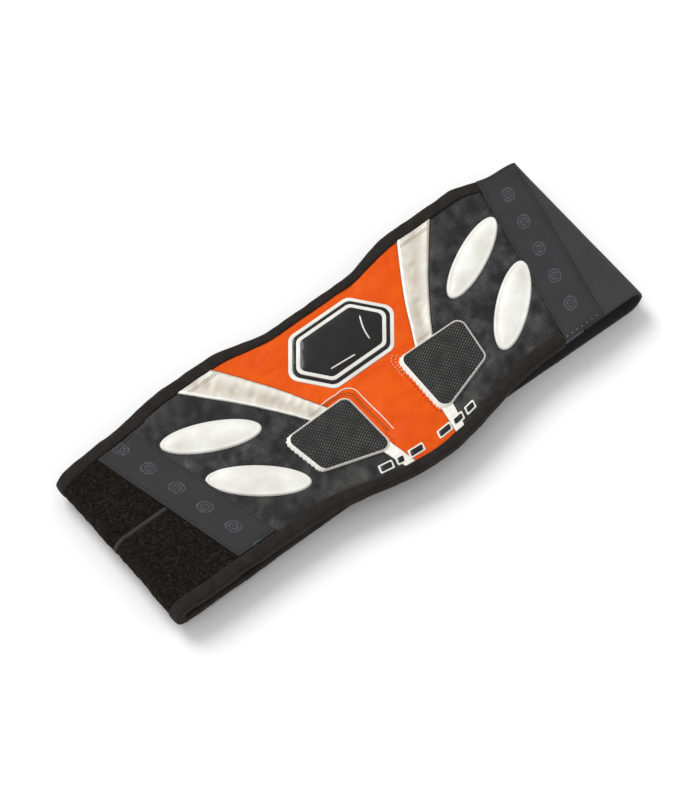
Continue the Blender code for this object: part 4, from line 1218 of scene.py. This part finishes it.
def build_end_tapes():
    for side, word in SIDES:
        bottom_cut = GAP if side > 0 else BINDING_HIP + 2 * GAP
        top_cut = 0.8 * MM if side > 0 else BINDING_HIP + 2 * GAP

        def top_line(s):
            return top_edge(s) - top_cut

        def bottom_line(s):
            return bottom_edge(s) + bottom_cut

        lower = [slant_crossing(side, across, bottom_line) for across in (0, 1)]
        upper = [slant_crossing(side, across, top_line) for across in (1, 0)]
        outline = along(bottom_line, *lower) + along(top_line, *upper)

        def over_tape(s, y):
            return tape_n(s, y) - (over_binding(y) if side > 0 else 0.0)

        def top(s, y, d):
            dip = 0.35 * MM * np.exp(-(((d - 2.6 * MM) / (0.9 * MM)) ** 2))
            return over_tape(s, y) + dip + round_edge(d, 0.7 * MM)

        rims = (0.2 * MM, 0.6 * MM, 1.6 * MM, 2.6 * MM, 3.6 * MM)
        obj = slab(f"end_tape_{word}", [outline], 2.6 * MM, rims, top, -0.5 * MM, "printed_tape")
        lines = []
        for across in (0.06, 0.94):
            ends = [slant_crossing(side, across, edge) for edge in (bottom_line, top_line)]
            y0, y1 = bottom_line(ends[0]) + 3 * MM, top_line(ends[1]) - 3 * MM
            lines.append([(slant_s(side, y, across), y) for y in np.linspace(y0, y1, 60)])
        for line_of, shift in ((bottom_line, 2.8 * MM), (top_line, -2.8 * MM)):
            ends = [slant_crossing(side, across, line_of) for across in (0.06, 0.94)]
            lines.append([(s, line_of(s) + shift) for s in np.linspace(*ends, 20)])
        paths = []
        for line in lines:
            paths += stitch_paths(line, lambda s, y: over_tape(s, y) + 0.2 * MM, 2.2 * MM, 3.0 * MM)
        thread = threads(f"tape_stitches_{word}", paths, 0.3 * MM, "thread_dark", 5)
        if side > 0:
            # A dark tube on the elastic beside the right tape's outer edge: a painted shadow line where the
            # tape stands over the elastic.
            ys = np.linspace(bottom_edge(FOLD_S[1]) + 2 * MM, top_edge(FOLD_S[1]) - 4 * MM, 80)
            path = [(slant_s(1, y, 1.0) + 0.7 * MM, y, -0.1 * MM) for y in ys]
            seam = threads("tape_shadow_line_right", [path], 0.7 * MM, "thread_dark", 6)
            blend_fold(seam, 1, 0, 0.0, [])
            dashes = stitch_paths(lines[2], lambda s, y: over_tape(s, y) + 0.1 * MM, 2.4 * MM, 5.6 * MM)
            dashes = threads("tape_foot_dashes", dashes, 0.34 * MM, "thread_tan", 5)
            blend_fold(dashes, 1, 0, -2.0 * MM, [])
            blend_fold(obj, side, 0, -1.0 * MM, [f"end_tape_{word}"])
            blend_fold(thread, side, 0, -1.0 * MM, [])
        else:
            finish_piece(obj, "back_panel", [f"end_tape_{word}"])
            finish_piece(thread, "back_panel", [])


# Edge binding.


def binding_section(width, depth):
    """A folded tape in section: pairs (distance in from the edge, n), round its outer side and back."""
    half = depth / 2
    crown = 1.25 * MM
    outer = [
        (width, -0.35 * MM),
        (width - 0.25 * MM, -1.1 * MM),
        (width - 1.2 * MM, -0.45 * MM - crown),
        (width * 0.7, -0.55 * MM - crown),
        (width * 0.45, -0.6 * MM - crown),
        (width * 0.22, -0.3 * MM - crown),
        (0.9 * MM, -0.9 * MM),
        (0.15 * MM, 0.5 * MM),
    ]
    far = [(w, depth - n) for w, n in outer[::-1]]
    back = [(width, depth + 0.3 * MM), (1.5 * MM, depth + 0.25 * MM)]
    front = [(1.3 * MM, half), (1.5 * MM, -0.25 * MM), (width, -0.3 * MM)]
    return outer + [(-0.1 * MM, half)] + far + back + front


# The section's ends, closed face by face: the tape's wall is thin.
TAPE_CAP = [(21, 0, 1, 2), (21, 2, 3), (21, 3, 4), (21, 4, 20), (20, 4, 5), (20, 5, 6), (20, 6, 7)]
TAPE_CAP += [(20, 7, 19), (19, 7, 8), (19, 8, 9), (19, 9, 18), (18, 9, 10), (18, 10, 11), (18, 11, 12)]
TAPE_CAP += [(18, 12, 17), (17, 12, 13), (17, 13, 14), (17, 14, 15, 16)]


def folded_tape(name, rings, up):
    """A closed skin over the rings of points."""
    rings = np.array(rings)
    rows, sides = rings.shape[:2]
    faces = laced(rows, sides) + [face[::-1] for face in TAPE_CAP]
    faces += [tuple((rows - 1) * sides + i for i in face) for face in TAPE_CAP]
    if up > 0:
        faces = [face[::-1] for face in faces]
    return new_object(name, rings.reshape(-1, 3), faces, "binding_fleece", 75.0)


def crinkled(section, s, high, seed=0.0):
    """The section's n at one place along the tape, with an unevenness up to that high on its outer side."""
    w, n = section
    return n - np.where(n < -0.8 * MM, high * waves(w, np.full_like(w, s), 6 * MM, seed), 0)


def binding_piece(name, edge, up, start, end, depth_of, seed):
    """A binding swept along an edge. up is 1 at a top edge and -1 at a bottom edge."""
    low, high = min(start, end), max(start, end)
    count = max(2, math.ceil((high - low) / (2.6 * MM)))
    rings = []
    for s in np.linspace(low, high, count + 1):
        width = binding_width(s)
        section = np.array(binding_section(width, depth_of(s)))
        wave = waves(np.array(s), np.array(seed), 9 * MM, seed)
        slow = waves(np.array(s), np.array(0.0), 31 * MM, seed + 2)
        w = section[:, 0] + (0.4 * MM * wave + 0.5 * MM * slow) * (section[:, 0] < width * 0.3)
        w += 0.35 * MM * waves(np.array(s), np.array(1.0), 13 * MM, seed + 5) * (section[:, 0] > width * 0.8)
        n = crinkled((w, section[:, 1]), s, 0.28 * MM, seed)
        rings.append(np.stack([np.full(len(w), s), edge(s) - up * w, n], -1))
    obj = folded_tape(name, rings, up)
    wall = depth_of(low) + 2 * binding_width(low)
    return obj


def binding_stitches(name, edge, up, start, end):
    line = [(s, edge(s) - up * (binding_width(s) - 1.6 * MM)) for s in np.linspace(start, end, 200)]
    paths = stitch_paths(line, lambda s, y: -1.75 * MM, 2.4 * MM, 3.4 * MM, 0.2 * MM)
    return threads(name, paths, 0.26 * MM, "thread_dark", 5)


def split_at(side, edge):
    offset = BINDING_HIP if edge is bottom_edge else 0.0
    return slant_crossing(side, 0.5, lambda s: edge(s) + offset)


def thick_then_thin(where, thick, thin):
    """A depth that falls from the panel's to the wing's over a short stretch."""
    return lambda s: float(mix(thick, thin, ease(abs(s), abs(where) - 6 * MM, abs(where) + 6 * MM)))


def build_bindings():
    turn = turned_s(-1, math.pi / 2)
    end = under_s(-1, LEFT_WING_END_X)
    right_top = slant_crossing(1, 0.5, top_edge) - GAP
    tape_foot = slant_crossing(1, 0, bottom_edge) - 2 * GAP
    for name, edge, far_edge, up, right in (
        ("top", top_edge, upper_edge, 1, right_top),
        ("bottom", bottom_edge, lower_edge, -1, tape_foot),
    ):
        split = split_at(-1, edge)
        obj = binding_piece(f"binding_panel_{name}", edge, up, split, right, lambda s: LINING_END, 1.0 + up)
        finish_piece(obj, "back_panel", [f"binding_panel_{name}"])
        thread = binding_stitches(f"binding_stitches_{name}", edge, up, split + 4 * MM, right - 2 * MM)
        finish_piece(thread, "back_panel", [])
        depth = thick_then_thin(split - 8 * MM, LINING_END, WING_LINING_END)
        obj = binding_piece(f"binding_wing_{name}", edge, up, turn, split, depth, 1.0 + up)
        blend_fold(obj, -1, 0, 2.0 * MM, [f"binding_wing_{name}", f"binding_fold_{name}"])
        under = (far_edge, up, end + 1 * MM, turn, lambda s: WING_LINING_END, 4.0 + up)
        obj = binding_piece(f"binding_under_{name}", *under)
        blend_fold(obj, -1, 1, 2.0 * MM, [f"binding_under_{name}"])


def build_end_binding():
    """The folded tape over the free end of the left wing."""
    end = under_s(-1, LEFT_WING_END_X)
    section = np.array(binding_section(BINDING_HIP, WING_LINING_END))
    ys = np.linspace(lower_edge(end) + 1 * MM, upper_edge(end) - 1 * MM, 60)
    rings = []
    for y in ys:
        w = section[:, 0] + 0.25 * MM * waves(np.array(y), np.array(2.0), 9 * MM) * (section[:, 0] < 4 * MM)
        n = crinkled((w, section[:, 1]), y, 0.25 * MM)
        rings.append(np.stack([end + w, np.full(len(w), y), n * 1.02], -1))
    obj = folded_tape("binding_under_end", rings, -1)
    finish_piece(obj, "left_wing", ["binding_under_end"])


# Inside the panel.


def build_inside():
    holes = [window_outline(side, 4.0 * MM) for side in (-1, 1)]
    outline = panel_outline(GAP / 2)

    def foam_face(s, y, d):
        return SHELL + GAP + 0.2 * MM + round_edge(d, 0.8 * MM)

    coarse = (9.0 * MM, (1.0 * MM,))
    obj = slab("panel_foam", [outline, *holes], *coarse, foam_face, FOAM_END - 1.6 * MM, "foam")
    finish_piece(obj, "back_panel", ["foam_core"])

    def lining_face(s, y, d):
        quilt = np.abs(np.sin(math.pi * (s + y) / (36 * MM)) * np.sin(math.pi * (s - y) / (36 * MM))) ** 0.6
        channel = 1.1 * MM * quilt * np.clip(d / (12 * MM), 0, 1)
        return LINING_END + channel - 0.2 * MM - round_edge(d, 0.6 * MM)

    fine = (3.6 * MM, (0.3 * MM, 0.9 * MM))
    obj = slab("panel_lining", [outline], *fine, FOAM_END + GAP, lining_face, "lining")
    finish_piece(obj, "back_panel", ["panel_lining"])
    for name in ("stay_outer_left", "stay_inner_left", "stay_inner_right", "stay_outer_right"):
        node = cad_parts[name]
        for slot in node.material_slots:
            slot.material = LOOKS["stay_plastic"]


# The plush wing.


def wing_outline(half, upper, lower, inset_y, start_gap=0.0):
    """A stretch of the left wing, half 0 from the tape to the middle of the fold and half 1 from there on."""
    turn, end = turned_s(-1, math.pi / 2), under_s(-1, LEFT_WING_END_X) + 1.6 * MM
    top_of, bottom_of = (upper_edge, lower_edge) if half else (top_edge, bottom_edge)
    high = (lambda s: top_of(s) - inset_y) if upper is None else (lambda s: upper)
    low = (lambda s: bottom_of(s) + inset_y) if lower is None else (lambda s: lower)
    if half:
        return along(high, turn, end) + along(low, end, turn)
    start_high, start_low = (slant_crossing(-1, 0.5, edge) - start_gap for edge in (high, low))
    return along(high, start_high, turn) + along(low, turn, start_low)


def plush_face(s, y, d):
    pile_n = 0.6 * MM * waves(s, y, 5 * MM, 1.0) + 0.5 * MM * waves(s, y, 2.1 * MM, 4.0)
    pile_n = pile_n - 0.9 * MM * ease(PLUSH_SEAM_Y - y, 0, 6 * MM) * np.exp((y - PLUSH_SEAM_Y) / (30 * MM))
    dip = 1.5 * MM * np.exp(-(((y - PLUSH_SEAM_Y) / (3.6 * MM)) ** 2))
    swag = 0.7 * MM * waves(s, y, 26 * MM, 3.0)
    return -0.6 * MM - pile_n * 0.7 - swag + dip


def plush_seam_face(s, y, d):
    return 0.35 * MM + 0.15 * MM * waves(s, y, 3 * MM) - 0.3 * MM * np.clip(d / MM, 0, 1)


def wing_lining_face(s, y, d):
    return WING_LINING_END + 0.25 * MM * waves(s, y, 15 * MM)


def build_wing():
    seam_half, turn = PLUSH_SEAM_WIDTH / 2, turned_s(-1, math.pi / 2)
    for half, word in ((0, "top"), (1, "under")):
        cell = 2.0 * MM if half == 0 else 3.0 * MM
        cuts = (("upper", None, PLUSH_SEAM_Y + 0.4 * MM), ("lower", PLUSH_SEAM_Y - 0.4 * MM, None))
        for level, upper, lower in cuts:
            outline = wing_outline(half, upper, lower, EDGE_INSET, GAP)
            name = f"plush_{word}_{level}"
            obj = slab(name, [outline], cell, (0.6 * MM,), plush_face, PLUSH, "plush", 80.0)
            nodes = [name] + ([f"plush_fold_{level}"] if half == 0 else [])
            blend_fold(obj, -1, half, 0.0, nodes)

        seam = wing_outline(half, PLUSH_SEAM_Y + seam_half, PLUSH_SEAM_Y - seam_half, 0.0)
        fine = (1.6 * MM, (0.4 * MM,))
        obj = slab(f"plush_{word}_seam", [seam], *fine, plush_seam_face, 1.6 * MM, "binding_fleece")
        nodes = [f"plush_{word}_seam"] + (["plush_fold_seam"] if half == 0 else [])
        blend_fold(obj, -1, half, 0.0, nodes)
        ends = (slant_s(-1, PLUSH_SEAM_Y, 1.0) - 1 * MM, turn)
        if half:
            ends = (turn, under_s(-1, LEFT_WING_END_X) + BINDING_HIP)
        turns = zigzag(np.arange(*ends, -1.15 * MM), 1.9 * MM)
        zig = [(s, PLUSH_SEAM_Y + shift, -0.15 * MM) for s, shift in turns]
        thread = threads(f"plush_{word}_zigzag", [resample(zig, 1.1 * MM)], 0.4 * MM, "thread_grey", 5)
        blend_fold(thread, -1, half, 0.0, [])

        outline = wing_outline(half, None, None, EDGE_INSET, GAP)
        coarse = 7.0 * MM if half else 4.0 * MM
        obj = slab(f"wing_{word}_core", [outline], coarse, (), PLUSH + GAP, WING_CORE_END, "foam")
        nodes = [f"wing_{word}_core"] + (["wing_fold_core"] if half == 0 else [])
        blend_fold(obj, -1, half, 4.0 * MM, nodes)
        faces = (WING_CORE_END + GAP, wing_lining_face)
        obj = slab(f"wing_lining_{word}", [outline], 4.0 * MM, (0.5 * MM,), *faces, "lining")
        nodes = [f"wing_{word}_lining"] + (["wing_fold_lining"] if half == 0 else [])
        blend_fold(obj, -1, half, 6.5 * MM, nodes)


# The elastic wing and its closure.

STRETCH_X = 150.0 * MM
ELASTIC_MIDDLE = 1.8 * MM


def elastic_face(s, y, d):
    return ELASTIC_START + 0.25 * MM * waves(s, y, 30 * MM, 1.5) + round_edge(d, 0.9 * MM)


def elastic_back(s, y, d):
    return ELASTIC_END + 0.2 * MM * waves(s, y, 30 * MM, 1.5) - round_edge(d, 0.9 * MM)


def without_ends(function, *stops):
    """The function without rounded edges where a piece meets the next one."""

    def of(s, y, d):
        for stop in stops:
            d = np.where(np.abs(s - stop) < d + 0.6 * MM, 6 * MM, d)
        return function(s, y, d)

    return of


def build_elastic():
    turn = turned_s(1, math.pi / 2)
    join = under_s(1, STRETCH_X)
    end = under_s(1, ELASTIC_END_X)
    top_start, bottom_start = (slant_crossing(1, 0.5, edge) + GAP for edge in (top_edge, bottom_edge))
    cuts = {
        "elastic_top": along(top_edge, top_start, turn) + along(bottom_edge, turn, bottom_start),
        "elastic_fold": along(upper_edge, turn, join) + along(lower_edge, join, turn),
        "elastic_under": along(upper_edge, join, end) + along(lower_edge, end, join),
    }
    faces = [without_ends(face, turn, join) for face in (elastic_face, elastic_back)]
    for half, (name, outline) in enumerate(cuts.items()):
        obj = slab(name, [outline], 3.0 * MM, (0.3 * MM, 0.9 * MM), *faces, "elastic")
        if name == "elastic_under":
            hang(obj, (join, end), ELASTIC_MIDDLE, [name])
        else:
            blend_fold(obj, 1, half, ELASTIC_MIDDLE, [name])


def rectangle(start, end, margin):
    """A cut of the closure, as far as the margin inside its long edges."""
    low, high = RIGHT_WING_BOTTOM + margin, RIGHT_WING_TOP - margin
    return [(start, low), (end, low), (end, high), (start, high)]


def seam_front(s, y, d):
    return ELASTIC_START - 0.2 * MM + round_edge(d, 0.7 * MM)


def seam_back(s, y, d):
    return ELASTIC_END + 0.3 * MM - round_edge(d, 0.7 * MM)


def hook_face(s, y, d):
    return HOOK_END - round_edge(d, 0.8 * MM) + 0.12 * MM * waves(s, y, 1.7 * MM)


def grip_face(s, y, d):
    return HOOK_END + 0.2 * MM - round_edge(d, 0.8 * MM)


def build_closure():
    start = under_s(1, ELASTIC_END_X) + GAP
    low, high = RIGHT_WING_BOTTOM, RIGHT_WING_TOP
    seam = rectangle(start, start + CLOSURE_SEAM, 0.0)
    rims = (0.3 * MM, 0.9 * MM)
    obj = slab("closure_seam", [seam], 2.4 * MM, rims, seam_front, seam_back, "binding_fleece")
    finish_piece(obj, "closure_seam", ["closure_seam"])
    paths = []
    for share in (0.25, 0.75):
        s, ys = start + CLOSURE_SEAM * share, np.linspace(low + 3 * MM, high - 3 * MM, 90)
        line = [(s + shift, y, ELASTIC_START - 0.3 * MM) for y, shift in zigzag(ys, 0.7 * MM)]
        paths.append(resample(line, 1.1 * MM))
    obj = threads("closure_stitches", paths, 0.3 * MM, "thread_dark", 5)
    finish_piece(obj, "closure_seam", [])

    start += CLOSURE_SEAM + GAP
    end = start + CLOSURE_LENGTH
    corners = rounded(rectangle(start, end, 0.0), 6 * MM)
    count = len(corners) // 4
    carrier = [(start, low), *corners[count : 3 * count], (start, high)]
    obj = slab("closure_carrier", [carrier], 3.4 * MM, rims, elastic_face, elastic_back, "elastic")
    stops = (start - 4 * MM, start + 8 * MM)
    hang(obj, stops, ELASTIC_MIDDLE, ["closure_carrier"])
    for i, word in enumerate(("inner", "outer")):
        left = start + HOOK_MARGIN / 2 + i * (HOOK_WIDTH + HOOK_MARGIN / 2)
        strip = rounded(rectangle(left, left + HOOK_WIDTH, HOOK_MARGIN), 4 * MM)
        fine = (2.4 * MM, (0.4 * MM, 1.2 * MM))
        obj = slab(f"hook_strip_{word}", [strip], *fine, ELASTIC_END + GAP, hook_face, "hook")
        finish_piece(obj, "closure_panel", [f"hook_strip_{word}"])
    grip_end = end - 2 * MM
    grip = rounded(rectangle(grip_end - GRIP, grip_end, HOOK_MARGIN), 3 * MM)
    fine = (2.0 * MM, (0.3 * MM, 0.8 * MM))
    obj = slab("grip_tape", [grip], *fine, ELASTIC_END + GAP, grip_face, "binding_fleece")
    finish_piece(obj, "closure_panel", ["grip_tape"])


# Floor and light.

WORLD_STRENGTH = 0.74
SUN_ENERGY, SUN_ANGLE, TO_SUN = 1.9, 34.0, Vector((-0.1, 0.85, 0.95))
FLOOR_REACH, FLOOR_Z = 40.0, -1.2 * MM


def build_stage():
    mesh = bpy.data.meshes.new("floor")
    corners = [(u * FLOOR_REACH, v * FLOOR_REACH, FLOOR_Z) for u, v in ((-1, -1), (1, -1), (1, 1), (-1, 1))]
    mesh.from_pydata(corners, [], [(0, 1, 2, 3)])
    floor = bpy.data.objects.new("floor", mesh)
    bpy.context.scene.collection.objects.link(floor)
    Look("floor", (0.93, 0.93, 0.93), 0.95, Specular_IOR_Level=0.0)
    mesh.materials.append(LOOKS["floor"])

    world = bpy.data.worlds.new("world")
    world.use_nodes = True
    background = world.node_tree.nodes["Background"]
    background.inputs["Color"].default_value = (1.0, 1.0, 1.0, 1.0)
    background.inputs["Strength"].default_value = WORLD_STRENGTH
    bpy.context.scene.world = world

    data = bpy.data.lights.new("key", "SUN")
    data.angle = math.radians(SUN_ANGLE)
    data.energy = SUN_ENERGY
    key = bpy.data.objects.new("key", data)
    bpy.context.scene.collection.objects.link(key)
    key.rotation_mode = "QUATERNION"
    key.rotation_quaternion = (-TO_SUN).to_track_quat("-Z", "Y")
    bpy.context.scene.view_settings.view_transform = "Standard"


build_cover()
build_vents()
build_window_lines()
build_flash_seams()
build_ovals()
build_badge()
build_label()
build_end_tapes()
build_bindings()
build_end_binding()
build_inside()
build_wing()
build_elastic()
build_closure()
build_stage()
